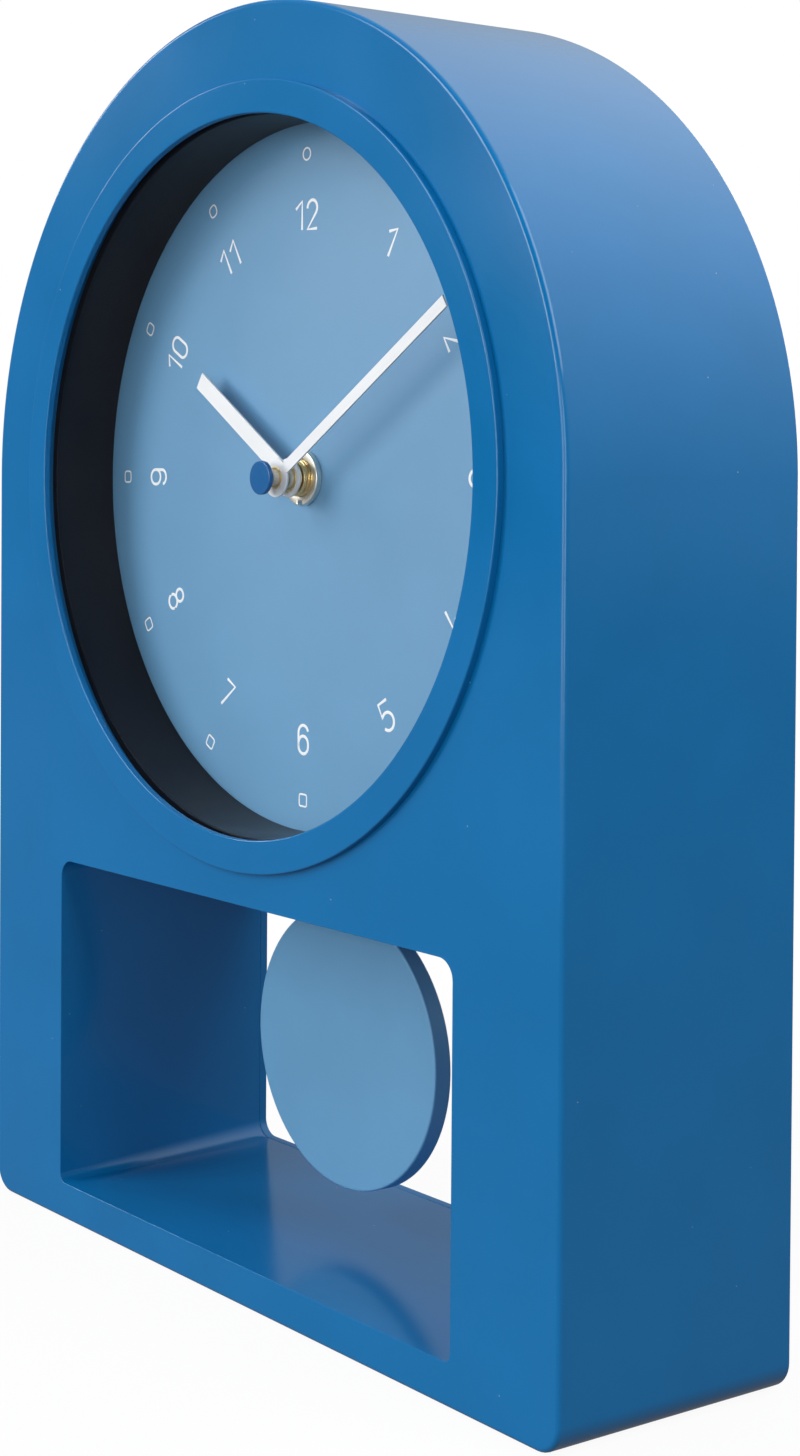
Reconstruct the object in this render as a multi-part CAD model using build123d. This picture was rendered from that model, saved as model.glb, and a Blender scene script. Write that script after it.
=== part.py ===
from build123d import *
import os
from math import cos, pi, radians, sin, tan

# Desk pendulum clock with an arched case, a deep round dial and a window for the pendulum.
# Millimetres. X runs to the viewer's right, Y to the back and Z up.
# The origin is the middle of the footprint, on the surface that the clock stands on.

# Case
CASE_WIDTH = 200.0
CASE_HEIGHT = 276.0
CASE_DEPTH = 60.5
CASE_WALL = 2.6
PANEL_THICKNESS = 3.0
FOOT_CORNER_RADIUS = 6.0
LEAST_CORNER_RADIUS = 1.0
FRONT_EDGE_RADIUS = 1.0
PLANE_TOLERANCE = 0.001

# Window through the lower case
STILE_WIDTH = 29.7
BOTTOM_RAIL = 8.6
MID_RAIL = 7.2
WINDOW_CORNER_RADIUS = 4.0
FLOOR_CORNER_RADIUS = 2.0
WINDOW_EDGE_RADIUS = 0.7
FLOOR_RISE = 3.0
STILE_DRAFT = 1.0
TUNNEL_WALL = 2.2

# Bezel, lens, spacer and dial
BEZEL_MARGIN = 16.4
BEZEL_WIDTH = 7.1
BEZEL_PROUD = 1.5
BEZEL_EDGE_BREAK = 0.3
LENS_LEDGE = 1.8
LENS_THICKNESS = 2.0
SPIGOT_WALL = 1.6
SPIGOT_LENGTH = 8.0
COLLAR_WALL = 2.0
DIAL_DEPTH = 18.0
DIAL_THICKNESS = 2.0
DIAL_LAP = 1.5
EAR_WIDTH = 7.4
EAR_ANGLES = (30, 150, 210, 330)
SEAT_GAP = 0.15

# Back cover and screws
COVER_THICKNESS = 2.0
COVER_RECESS = 0.5
COVER_GAP = 0.3
ACCESS_MARGIN = 10.0
ACCESS_CORNER_RADIUS = 8.0
POST_RADIUS = 4.0
POST_WALL_GAP = 1.6
POST_ARCH_ANGLE = 62.0
POST_ABOVE_FLOOR = 22.0
POST_ABOVE_WINDOW = 20.0
SCREW_RADIUS = 1.45
SCREW_HEAD_RADIUS = 2.9
SCREW_LENGTH = 11.0
DIAL_SCREW_HEAD = 1.8
SCREW_GAP = 0.05

# Hands and what holds them, as heights above the dial face
BUSH_RADIUS = 4.0
BUSH_HEIGHT = 3.0
NUT_RADIUS = 6.0
NUT_HEIGHT = 1.4
NUT_SLOT = 1.6
HAND_THICKNESS = 0.5
HAND_HUB_RADIUS = 4.2
HOUR_HAND_HEIGHT = 4.2
HOUR_HAND_LENGTH = 40.0
HOUR_HAND_WIDTH = 4.0
HOUR_HAND_ANGLE = -56.8
MINUTE_HAND_HEIGHT = 7.5
MINUTE_HAND_LENGTH = 65.0
MINUTE_HAND_WIDTH = 2.6
MINUTE_HAND_ANGLE = 57.6
COLLET_WALL = 0.45
COLLET_BOSS_WALL = 0.8
COLLET_BOSS_LENGTH = 1.0
COLLET_LIP = 0.2
HOUR_TUBE_HEIGHT = 5.6
MINUTE_ARBOR_HEIGHT = 9.6
CAP_HEIGHT = 11.2
CAP_THICKNESS = 1.0
CAP_RADIUS = 3.65
CAP_EDGE_BREAK = 0.3

# Shafts
HOUR_TUBE_RADIUS = 2.5
MINUTE_ARBOR_RADIUS = 1.75
SECONDS_ARBOR_RADIUS = 0.5
ARBOR_RADIUS = 0.5
SETTING_ARBOR_RADIUS = 1.2
RUNNING_GAP = 0.05
FIXED_GAP = 0.02

# Battery: one AA cell
BATTERY_RADIUS = 7.25
BATTERY_LENGTH = 50.5
BATTERY_NUB_RADIUS = 2.75
BATTERY_NUB_LENGTH = 1.3
BATTERY_GAP = 0.3
BATTERY_DROP = 19.6
CONTACT_ROOM = 1.55
CONTACT_THICKNESS = 0.4
CONTACT_WIDTH = 10.0
CONTACT_BUMP_RADIUS = 2.2

# Movement shells
MOVEMENT_WALL = 1.2
MOVEMENT_CORNER_RADIUS = 3.0
MOVEMENT_ABOVE_SHAFT = 28.0
MOVEMENT_BELOW_SHAFT = 70.0
BAY_RIB = 1.0
PLATE_THICKNESS = 1.0
PLATE_POST_RADIUS = 2.2
PLATE_POST_INSET = 3.8
PLATE_GAP = 0.2
WASHER_THICKNESS = 0.8
WASHER_RADIUS = 9.0
PIVOT_DEPTH = 0.6

# Gears
MOTION_WHEEL = 1.0
TRAIN_WHEEL = 0.8
LAYER_GAP = 0.4
TRAIN_MODULE = 0.25
CANNON_TEETH = 12
MINUTE_WHEEL_TEETH = 36
MINUTE_PINION_TEETH = 12
HOUR_WHEEL_TEETH = 48
MOTION_CENTRES = 12.0
SECONDS_PINION_TEETH = 8
THIRD_WHEEL_TEETH = 60
THIRD_PINION_TEETH = 8
CENTRE_WHEEL_TEETH = 64
INTERMEDIATE_PINION_TEETH = 12
SECONDS_WHEEL_TEETH = 60
ROTOR_PINION_TEETH = 10
INTERMEDIATE_WHEEL_TEETH = 60
ADDENDUM = 0.85
DEDENDUM = 1.15
TOOTH_ROOT_SHARE = 0.54
TOOTH_TIP_SHARE = 0.2
MINUTE_WHEEL_DIRECTION = 20.0
THIRD_WHEEL_DIRECTION = 180.0
INTERMEDIATE_DIRECTION = 100.0
ROTOR_DIRECTION = 150.0

# Setting knob
KNOB_RADIUS = 5.0
KNOB_THICKNESS = 3.0
KNOB_SCALLOPS = 10
KNOB_SCALLOP_RADIUS = 0.9
KNOB_STANDOFF = 0.4

# Stepping motor and circuit
MAGNET_RADIUS = 2.9
MAGNET_LENGTH = 2.0
STATOR_THICKNESS = 0.8
STATOR_GAP = 0.4
STATOR_BAR = 2.0
STATOR_RING = 1.8
COIL_RADIUS = 2.3
COIL_FLANGE_RADIUS = 2.7
COIL_FLANGE = 0.8
COIL_LENGTH = 18.0
COIL_RISE = 8.3
STATOR_POST_RADIUS = 0.9
BOARD_WIDTH = 18.0
BOARD_HEIGHT = 16.0
BOARD_THICKNESS = 1.0
BOARD_CORNER_RADIUS = 2.0
BOARD_STANDOFF = 1.6
BOARD_POST_RADIUS = 1.5

# Pendulum
SWING_ANGLE = 10.0
SWING_GAP = 1.2
BOB_FLOOR_GAP = 11.3
BOB_CEILING_GAP = 3.3
BOB_THICKNESS = 4.4
BOB_EDGE_BREAK = 0.3
BOB_SOCKET_DEPTH = 14.0
ROD_RADIUS = 0.9
EYELET_RADIUS = 2.2
EYELET_THICKNESS = 1.6
PIVOT_BELOW_SHAFT = 36.0
PIVOT_RADIUS = 1.0
ARM_PLANE = 11.0
ARM_THICKNESS = 3.0
ARM_BOSS_THICKNESS = 5.0
ARM_WIDTH = 5.0
ARM_PIVOT_RADIUS = 3.5
ARM_LENGTH = 40.0
FORK_RADIUS = 3.0
FORK_GAP = 0.3
HANGER_RADIUS = 0.8
MAGNET_BELOW_PIVOT = 21.0
PENDULUM_MAGNET_RADIUS = 4.0
PENDULUM_MAGNET_LENGTH = 2.4
MAGNET_RIM = 1.2
DRIVE_COIL_RADIUS = 8.8
DRIVE_COIL_BORE = 2.5
DRIVE_COIL_FLANGE = 0.6
DRIVE_COIL_LIP = 0.6
DRIVE_COIL_GAP = 1.1
COIL_PEG_LENGTH = 3.0
ARM_SIDE_GAP = 0.3

# Places that follow from the sizes above
FRONT_Y = BEZEL_PROUD - (CASE_DEPTH + BEZEL_PROUD) / 2
REAR_Y = FRONT_Y + CASE_DEPTH
PANEL_REAR_Y = FRONT_Y + PANEL_THICKNESS
COVER_REAR_Y = REAR_Y - COVER_RECESS
COVER_FRONT_Y = COVER_REAR_Y - COVER_THICKNESS
DIAL_Z = CASE_HEIGHT - CASE_WIDTH / 2
DIAL_FACE_Y = FRONT_Y + DIAL_DEPTH
DIAL_REAR_Y = DIAL_FACE_Y + DIAL_THICKNESS

BEZEL_RADIUS = CASE_WIDTH / 2 - BEZEL_MARGIN
BEZEL_BORE = BEZEL_RADIUS - BEZEL_WIDTH
LENS_RADIUS = BEZEL_BORE + LENS_LEDGE
SPIGOT_BORE = LENS_RADIUS + SEAT_GAP
SPIGOT_RADIUS = SPIGOT_BORE + SPIGOT_WALL
COLLAR_BORE = SPIGOT_RADIUS + SEAT_GAP
COLLAR_RADIUS = COLLAR_BORE + COLLAR_WALL
DIAL_RADIUS = COLLAR_BORE + DIAL_LAP
EAR_RADIUS = COLLAR_RADIUS + EAR_WIDTH / 2 - COLLAR_WALL / 2

WINDOW_WIDTH = CASE_WIDTH - 2 * STILE_WIDTH
WINDOW_TOP = DIAL_Z - BEZEL_RADIUS - MID_RAIL
WINDOW_HEIGHT = WINDOW_TOP - BOTTOM_RAIL

MOVEMENT_WIDTH = BATTERY_LENGTH + 2 * (CONTACT_ROOM + MOVEMENT_WALL)
MOVEMENT_HEIGHT = MOVEMENT_ABOVE_SHAFT + MOVEMENT_BELOW_SHAFT
MOVEMENT_DEPTH = MOVEMENT_WALL + BATTERY_GAP + 2 * BATTERY_RADIUS
MOVEMENT_TOP = DIAL_Z + MOVEMENT_ABOVE_SHAFT
MOVEMENT_BOTTOM = DIAL_Z - MOVEMENT_BELOW_SHAFT
MOVEMENT_Z = (MOVEMENT_TOP + MOVEMENT_BOTTOM) / 2
MOVEMENT_Y = DIAL_REAR_Y + WASHER_THICKNESS
MOVEMENT_INNER_Y = MOVEMENT_Y + MOVEMENT_WALL
MOVEMENT_REAR_Y = MOVEMENT_Y + MOVEMENT_DEPTH
LID_Y = MOVEMENT_REAR_Y - MOVEMENT_WALL
PIVOT_START_Y = MOVEMENT_INNER_Y - PIVOT_DEPTH
PIVOT_END_Y = LID_Y + PIVOT_DEPTH
BATTERY_Y = MOVEMENT_INNER_Y + BATTERY_GAP / 2 + BATTERY_RADIUS
BATTERY_Z = DIAL_Z - BATTERY_DROP
BAY_HALF_HEIGHT = BATTERY_RADIUS + BATTERY_GAP

HOUR_WHEEL_Y = MOVEMENT_INNER_Y + LAYER_GAP
MINUTE_WHEEL_Y = HOUR_WHEEL_Y + MOTION_WHEEL + LAYER_GAP
PLATE_Y = MINUTE_WHEEL_Y + MOTION_WHEEL + LAYER_GAP
CENTRE_WHEEL_Y = PLATE_Y + PLATE_THICKNESS + LAYER_GAP
THIRD_WHEEL_Y = CENTRE_WHEEL_Y + TRAIN_WHEEL + LAYER_GAP
SECONDS_WHEEL_Y = THIRD_WHEEL_Y + TRAIN_WHEEL + LAYER_GAP
INTERMEDIATE_WHEEL_Y = SECONDS_WHEEL_Y + TRAIN_WHEEL + LAYER_GAP
MAGNET_Y = INTERMEDIATE_WHEEL_Y + TRAIN_WHEEL + LAYER_GAP
STATOR_Y = MAGNET_Y + (MAGNET_LENGTH - STATOR_THICKNESS) / 2
PLATE_BOTTOM = BATTERY_Z + BAY_HALF_HEIGHT + BAY_RIB + PLATE_GAP
PLATE_TOP = MOVEMENT_TOP - MOVEMENT_WALL - PLATE_GAP
PLATE_HALF_WIDTH = MOVEMENT_WIDTH / 2 - MOVEMENT_WALL - PLATE_GAP


def polar(radius, direction, start=(0.0, DIAL_Z)):
    """Point on the front view (X, Z) at a distance and direction from a start point."""
    angle = radians(direction)
    return (start[0] + radius * cos(angle), start[1] + radius * sin(angle))


def pitch_centres(wheel, pinion, module=TRAIN_MODULE):
    return module * (wheel + pinion) / 2


SHAFT = (0.0, DIAL_Z)
TRAIN_CENTRES = pitch_centres(CENTRE_WHEEL_TEETH, THIRD_PINION_TEETH)
THIRD_MODULE = 2 * TRAIN_CENTRES / (THIRD_WHEEL_TEETH + SECONDS_PINION_TEETH)
CANNON_MODULE = 2 * MOTION_CENTRES / (CANNON_TEETH + MINUTE_WHEEL_TEETH)
HOUR_MODULE = 2 * MOTION_CENTRES / (MINUTE_PINION_TEETH + HOUR_WHEEL_TEETH)
SETTING_AXIS = polar(MOTION_CENTRES, MINUTE_WHEEL_DIRECTION)
THIRD_AXIS = polar(TRAIN_CENTRES, THIRD_WHEEL_DIRECTION)
INTERMEDIATE_AXIS = polar(
    pitch_centres(SECONDS_WHEEL_TEETH, INTERMEDIATE_PINION_TEETH), INTERMEDIATE_DIRECTION
)
ROTOR_AXIS = polar(
    pitch_centres(INTERMEDIATE_WHEEL_TEETH, ROTOR_PINION_TEETH), ROTOR_DIRECTION, INTERMEDIATE_AXIS
)

COIL_AXIS = (ROTOR_AXIS[0], ROTOR_AXIS[1] + COIL_RISE)
STATOR_HALF_SPAN = COIL_LENGTH / 2 + SEAT_GAP + STATOR_BAR / 2
BOARD_AXIS = (
    PLATE_HALF_WIDTH - PLATE_GAP - BOARD_WIDTH / 2,
    PLATE_TOP - PLATE_GAP - BOARD_HEIGHT / 2,
)
BOARD_REAR_Y = LID_Y - BOARD_STANDOFF

PIVOT_AXIS = (0.0, DIAL_Z - PIVOT_BELOW_SHAFT)
SWING_Y = MOVEMENT_Y + ARM_PLANE
ARM_Y = (SWING_Y - ARM_THICKNESS / 2, SWING_Y + ARM_THICKNESS / 2)
ARM_BOSS_Y = (SWING_Y - ARM_BOSS_THICKNESS / 2, SWING_Y + ARM_BOSS_THICKNESS / 2)
MAGNET_AXIS = (0.0, PIVOT_AXIS[1] - MAGNET_BELOW_PIVOT)
HANGER_AXIS = (0.0, PIVOT_AXIS[1] - ARM_LENGTH)
BOB_RADIUS = (WINDOW_HEIGHT - BOB_FLOOR_GAP - BOB_CEILING_GAP) / 2
BOB_AXIS = (0.0, BOTTOM_RAIL + BOB_FLOOR_GAP + BOB_RADIUS)


def front_view(depth):
    """Upright plane at one depth, seen from the front."""
    return Plane(origin=(0, depth, 0), x_dir=(1, 0, 0), z_dir=(0, -1, 0))


def slab(sketch, y_front, y_rear):
    """Extrude a front view (X, Z) sketch from one depth to another."""
    return extrude(front_view(y_front) * sketch, amount=y_front - y_rear)


def disc(centre, radius):
    return Pos(centre[0], centre[1]) * Circle(radius)


def pin(centre, radius, y_front, y_rear):
    return slab(disc(centre, radius), y_front, y_rear)


def tube(centre, radius, bore, y_front, y_rear):
    return slab(disc(centre, radius) - disc(centre, bore), y_front, y_rear)


def turned(centre, section):
    """Revolve a closed section of (radius, depth) points round an axis along Y."""
    view = Plane(origin=(centre[0], 0, centre[1]))
    axis = Axis((centre[0], 0, centre[1]), (0, 1, 0))
    return revolve(view * make_face(Polyline(*section, close=True)), axis=axis)


def front_edges(solid, y_face):
    """Edges that lie in one front plane."""
    return solid.edges().filter_by_position(Axis.Y, y_face - PLANE_TOLERANCE, y_face + PLANE_TOLERANCE)


def arch_outline(inset=0.0):
    """Outline of the case: square foot with rounded corners, half round top."""
    half = CASE_WIDTH / 2 - inset
    foot = Pos(0, (inset + DIAL_Z) / 2) * Rectangle(2 * half, DIAL_Z - inset)
    corner = max(FOOT_CORNER_RADIUS - inset, LEAST_CORNER_RADIUS)
    foot = fillet(foot.vertices().sort_by(Axis.Y)[:2], corner)
    return foot + disc(SHAFT, half)


def window_outline(width, floor, floor_corner, grow):
    """Outline of the window at one depth; the ceiling stays level."""
    height = WINDOW_TOP - floor + 2 * grow
    outline = Pos(0, floor - grow + height / 2) * Rectangle(width + 2 * grow, height)
    outline = fillet(outline.vertices().sort_by(Axis.Y)[:2], floor_corner + grow)
    return fillet(outline.vertices().sort_by(Axis.Y)[-2:], WINDOW_CORNER_RADIUS + grow)


def window_tunnel(grow=0.0):
    """Room through the case behind the window: its floor rises and its sides draw in towards the back."""
    front = window_outline(WINDOW_WIDTH, BOTTOM_RAIL, FLOOR_CORNER_RADIUS, grow)
    rear = window_outline(
        WINDOW_WIDTH - 2 * STILE_DRAFT, BOTTOM_RAIL + FLOOR_RISE, WINDOW_CORNER_RADIUS, grow
    )
    return loft([front_view(FRONT_Y) * front, front_view(REAR_Y) * rear], ruled=True)


def movement_outline(inset=0.0):
    outline = RectangleRounded(
        MOVEMENT_WIDTH - 2 * inset, MOVEMENT_HEIGHT - 2 * inset, MOVEMENT_CORNER_RADIUS - inset
    )
    return Pos(0, MOVEMENT_Z) * outline


def post_places():
    """Six posts for the back cover: two in each stile and two under the arch."""
    stile = (CASE_WIDTH - STILE_WIDTH) / 2
    arch = CASE_WIDTH / 2 - CASE_WALL - POST_WALL_GAP - POST_RADIUS
    low = BOTTOM_RAIL + POST_ABOVE_FLOOR
    high = WINDOW_TOP + POST_ABOVE_WINDOW
    right, top = polar(arch, POST_ARCH_ANGLE)
    return [(side * x, z) for side in (-1, 1) for x, z in ((stile, low), (stile, high), (right, top))]


def ear_places():
    return [polar(EAR_RADIUS, angle) for angle in EAR_ANGLES]


def swing_room(depth_below_pivot, half_width):
    """Half width that something on the pendulum sweeps at a depth below the pivot."""
    return depth_below_pivot * tan(radians(SWING_ANGLE)) + half_width / cos(radians(SWING_ANGLE))


# Case and what closes it

def make_case_shell():
    outside = slab(arch_outline(), FRONT_Y, REAR_Y)
    outside = fillet(front_edges(outside, FRONT_Y), FRONT_EDGE_RADIUS)
    outside -= window_tunnel()
    rim = front_edges(outside, FRONT_Y)
    rim = rim.filter_by_position(Axis.Z, BOTTOM_RAIL - PLANE_TOLERANCE, WINDOW_TOP + PLANE_TOLERANCE)
    half = WINDOW_WIDTH / 2 + PLANE_TOLERANCE
    rim = rim.filter_by_position(Axis.X, -half, half)
    shell = fillet(rim, WINDOW_EDGE_RADIUS)
    shell -= slab(arch_outline(CASE_WALL), PANEL_REAR_Y, COVER_FRONT_Y) - window_tunnel(TUNNEL_WALL)
    shell -= slab(arch_outline(CASE_WALL), COVER_FRONT_Y, REAR_Y)

    collar = tube(SHAFT, COLLAR_RADIUS, COLLAR_BORE, PANEL_REAR_Y, DIAL_FACE_Y)
    bosses = [pin(place, EAR_WIDTH / 2, PANEL_REAR_Y, DIAL_FACE_Y) for place in ear_places()]
    posts = [pin(place, POST_RADIUS, PANEL_REAR_Y, COVER_FRONT_Y) for place in post_places()]
    shell = shell.fuse(collar, *bosses, *posts)

    hole = SCREW_RADIUS + SCREW_GAP
    cuts = [pin(SHAFT, COLLAR_BORE, FRONT_Y, DIAL_FACE_Y)]
    cuts += [pin(place, hole, DIAL_FACE_Y - SCREW_LENGTH, DIAL_FACE_Y) for place in ear_places()]
    cuts += [pin(place, hole, COVER_FRONT_Y - SCREW_LENGTH, COVER_FRONT_Y) for place in post_places()]
    ceiling = PIVOT_AXIS[1] - WINDOW_TOP
    slot_half = swing_room(ceiling, ROD_RADIUS) + SWING_GAP
    slot = Rectangle(2 * slot_half, 2 * (ROD_RADIUS + SWING_GAP))
    cuts.append(extrude(Pos(0, SWING_Y, WINDOW_TOP) * slot, amount=TUNNEL_WALL))
    return shell.cut(*cuts)


def make_bezel_ring():
    face = FRONT_Y - BEZEL_PROUD
    ring = turned(SHAFT, [
        (BEZEL_BORE, face),
        (BEZEL_RADIUS, face),
        (BEZEL_RADIUS, FRONT_Y),
        (SPIGOT_RADIUS, FRONT_Y),
        (SPIGOT_RADIUS, FRONT_Y + SPIGOT_LENGTH),
        (SPIGOT_BORE, FRONT_Y + SPIGOT_LENGTH),
        (SPIGOT_BORE, FRONT_Y),
        (BEZEL_BORE, FRONT_Y),
    ])
    return chamfer(front_edges(ring, face), BEZEL_EDGE_BREAK)


def make_lens():
    return pin(SHAFT, LENS_RADIUS, FRONT_Y, FRONT_Y + LENS_THICKNESS)


def make_spacer_ring():
    return tube(SHAFT, LENS_RADIUS, BEZEL_BORE, FRONT_Y + LENS_THICKNESS, DIAL_FACE_Y)


def make_dial():
    plate = disc(SHAFT, DIAL_RADIUS)
    for angle, place in zip(EAR_ANGLES, ear_places()):
        middle = polar((DIAL_RADIUS + EAR_RADIUS) / 2 - DIAL_LAP, angle)
        neck = Rectangle(EAR_RADIUS - DIAL_RADIUS + 2 * DIAL_LAP, EAR_WIDTH)
        plate += Pos(*middle) * Rot(0, 0, angle) * neck
        plate += disc(place, EAR_WIDTH / 2)
    for place in ear_places():
        plate -= disc(place, SCREW_RADIUS + SEAT_GAP)
    plate -= disc(SHAFT, BUSH_RADIUS + SEAT_GAP)
    return slab(plate, DIAL_FACE_Y, DIAL_REAR_Y)


def make_dial_screws():
    """Pan head screws, driven from the back through the ears of the dial."""
    def screw(place):
        head = DIAL_REAR_Y + DIAL_SCREW_HEAD
        tip = DIAL_REAR_Y - SCREW_LENGTH
        return turned(place, [
            (0, head),
            (SCREW_HEAD_RADIUS, head),
            (SCREW_HEAD_RADIUS, DIAL_REAR_Y),
            (SCREW_RADIUS, DIAL_REAR_Y),
            (SCREW_RADIUS, tip),
            (0, tip),
        ])
    return Compound(children=[screw(place) for place in ear_places()])


def countersunk(place, gap=0.0):
    """Countersunk screw, or the hole for it when a gap is added all round."""
    cone = SCREW_HEAD_RADIUS - SCREW_RADIUS
    return turned(place, [
        (0, COVER_REAR_Y),
        (SCREW_HEAD_RADIUS + gap, COVER_REAR_Y),
        (SCREW_RADIUS + gap, COVER_REAR_Y - cone),
        (SCREW_RADIUS + gap, COVER_REAR_Y - SCREW_LENGTH),
        (0, COVER_REAR_Y - SCREW_LENGTH),
    ])


def make_back_cover():
    access_bottom = MOVEMENT_BOTTOM - ACCESS_MARGIN
    access_height = MOVEMENT_HEIGHT + 2 * ACCESS_MARGIN
    access = RectangleRounded(MOVEMENT_WIDTH + 2 * ACCESS_MARGIN, access_height, ACCESS_CORNER_RADIUS)
    plate = arch_outline(CASE_WALL + COVER_GAP) - Pos(0, access_bottom + access_height / 2) * access
    cover = slab(plate, COVER_FRONT_Y, COVER_REAR_Y) - window_tunnel()
    return cover.cut(*[countersunk(place, SCREW_GAP) for place in post_places()])


def make_cover_screws():
    return Compound(children=[countersunk(place) for place in post_places()])


# Bush, nut, hands and cap

def above_dial(height):
    return DIAL_FACE_Y - height


def make_threaded_bush():
    bore = HOUR_TUBE_RADIUS + RUNNING_GAP
    return tube(SHAFT, BUSH_RADIUS, bore, above_dial(BUSH_HEIGHT), MOVEMENT_INNER_Y)


def make_fixing_nut():
    nut = tube(SHAFT, NUT_RADIUS, BUSH_RADIUS + FIXED_GAP, above_dial(NUT_HEIGHT), DIAL_FACE_Y)
    slots = slab(Pos(*SHAFT) * Rectangle(NUT_SLOT, 2 * NUT_RADIUS), above_dial(NUT_HEIGHT), DIAL_FACE_Y)
    middle = pin(SHAFT, (NUT_RADIUS + BUSH_RADIUS) / 2, above_dial(NUT_HEIGHT), DIAL_FACE_Y)
    return nut - (slots - middle)


def make_rubber_washer():
    return tube(SHAFT, WASHER_RADIUS, BUSH_RADIUS + SEAT_GAP, DIAL_REAR_Y, MOVEMENT_Y)


def make_hand(length, width, angle, height, bore):
    """Flat bar with square end and round hub; the angle runs clockwise from twelve."""
    bar = Pos(0, length / 2) * Rectangle(width, length)
    outline = Rot(0, 0, -angle) * (bar + Circle(HAND_HUB_RADIUS)) - Circle(bore)
    return slab(Pos(*SHAFT) * outline, above_dial(height + HAND_THICKNESS), above_dial(height))


def make_collet(shaft_radius, height):
    """Brass eyelet with a boss behind the hand and a rolled lip in front of it."""
    bore = shaft_radius + FIXED_GAP
    neck = shaft_radius + COLLET_WALL
    boss = shaft_radius + COLLET_BOSS_WALL
    front = above_dial(height + HAND_THICKNESS)
    return turned(SHAFT, [
        (bore, front - COLLET_LIP),
        (neck + COLLET_LIP, front - COLLET_LIP),
        (neck + COLLET_LIP, front),
        (neck, front),
        (neck, above_dial(height)),
        (boss, above_dial(height)),
        (boss, above_dial(height - COLLET_BOSS_LENGTH)),
        (bore, above_dial(height - COLLET_BOSS_LENGTH)),
    ])


def make_seconds_cap():
    front = above_dial(CAP_HEIGHT + CAP_THICKNESS)
    cap = pin(SHAFT, CAP_RADIUS, front, above_dial(CAP_HEIGHT))
    cap = chamfer(front_edges(cap, front), CAP_EDGE_BREAK)
    bore = SECONDS_ARBOR_RADIUS + FIXED_GAP
    return cap - pin(SHAFT, bore, above_dial(CAP_HEIGHT + CAP_THICKNESS / 2), above_dial(CAP_HEIGHT))


# Gears: every toothed disc is in one mesh, so a tooth of one faces a gap of the other

def gear(teeth, module, axis, direction, y_front, thickness, gap_first=False):
    """Toothed disc; direction points at its mate, where it has a tooth or a gap."""
    pitch = 2 * pi / teeth
    turn = radians(direction) + (pitch / 2 if gap_first else 0)
    root = module * (teeth / 2 - DEDENDUM)
    tip = module * (teeth / 2 + ADDENDUM)
    outline = []
    for number in range(teeth):
        middle = turn + number * pitch
        for radius, share in ((root, -TOOTH_ROOT_SHARE), (tip, -TOOTH_TIP_SHARE),
                              (tip, TOOTH_TIP_SHARE), (root, TOOTH_ROOT_SHARE)):
            angle = middle + share * pitch / 2
            outline.append((axis[0] + radius * cos(angle), axis[1] + radius * sin(angle)))
    return slab(make_face(Polyline(*outline, close=True)), y_front, y_front + thickness)


def make_minute_arbor():
    arbor = pin(SHAFT, MINUTE_ARBOR_RADIUS, above_dial(MINUTE_ARBOR_HEIGHT), CENTRE_WHEEL_Y + TRAIN_WHEEL)
    arbor += gear(CANNON_TEETH, CANNON_MODULE, SHAFT, MINUTE_WHEEL_DIRECTION, MINUTE_WHEEL_Y, MOTION_WHEEL)
    bore = SECONDS_ARBOR_RADIUS + RUNNING_GAP
    return arbor - pin(SHAFT, bore, above_dial(MINUTE_ARBOR_HEIGHT), CENTRE_WHEEL_Y + TRAIN_WHEEL)


def make_hour_wheel():
    wheel = gear(HOUR_WHEEL_TEETH, HOUR_MODULE, SHAFT, MINUTE_WHEEL_DIRECTION, HOUR_WHEEL_Y, MOTION_WHEEL)
    wheel += pin(SHAFT, HOUR_TUBE_RADIUS, above_dial(HOUR_TUBE_HEIGHT), HOUR_WHEEL_Y)
    bore = MINUTE_ARBOR_RADIUS + RUNNING_GAP
    return wheel - pin(SHAFT, bore, above_dial(HOUR_TUBE_HEIGHT), HOUR_WHEEL_Y + MOTION_WHEEL)


def make_minute_wheel():
    back = MINUTE_WHEEL_DIRECTION + 180
    wheel = gear(MINUTE_WHEEL_TEETH, CANNON_MODULE, SETTING_AXIS, back, MINUTE_WHEEL_Y, MOTION_WHEEL, True)
    pinion = gear(
        MINUTE_PINION_TEETH, HOUR_MODULE, SETTING_AXIS, back,
        HOUR_WHEEL_Y, MINUTE_WHEEL_Y - HOUR_WHEEL_Y, True,
    )
    arbor_end = MOVEMENT_REAR_Y + KNOB_STANDOFF + KNOB_THICKNESS / 2
    arbor = pin(SETTING_AXIS, SETTING_ARBOR_RADIUS, PIVOT_START_Y, arbor_end)
    return wheel.fuse(pinion, arbor)


def make_setting_knob():
    front = MOVEMENT_REAR_Y + KNOB_STANDOFF
    outline = disc(SETTING_AXIS, KNOB_RADIUS)
    for number in range(KNOB_SCALLOPS):
        outline -= disc(polar(KNOB_RADIUS, 360 * number / KNOB_SCALLOPS, SETTING_AXIS), KNOB_SCALLOP_RADIUS)
    knob = slab(outline, front, front + KNOB_THICKNESS)
    return knob - pin(SETTING_AXIS, SETTING_ARBOR_RADIUS + FIXED_GAP, front, front + KNOB_THICKNESS / 2)


def make_seconds_wheel():
    wheel = gear(
        SECONDS_WHEEL_TEETH, TRAIN_MODULE, SHAFT, INTERMEDIATE_DIRECTION, SECONDS_WHEEL_Y, TRAIN_WHEEL
    )
    pinion = gear(
        SECONDS_PINION_TEETH, THIRD_MODULE, SHAFT, THIRD_WHEEL_DIRECTION,
        THIRD_WHEEL_Y, SECONDS_WHEEL_Y - THIRD_WHEEL_Y,
    )
    arbor = pin(SHAFT, SECONDS_ARBOR_RADIUS, above_dial(CAP_HEIGHT + CAP_THICKNESS / 2), PIVOT_END_Y)
    return wheel.fuse(pinion, arbor)


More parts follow.
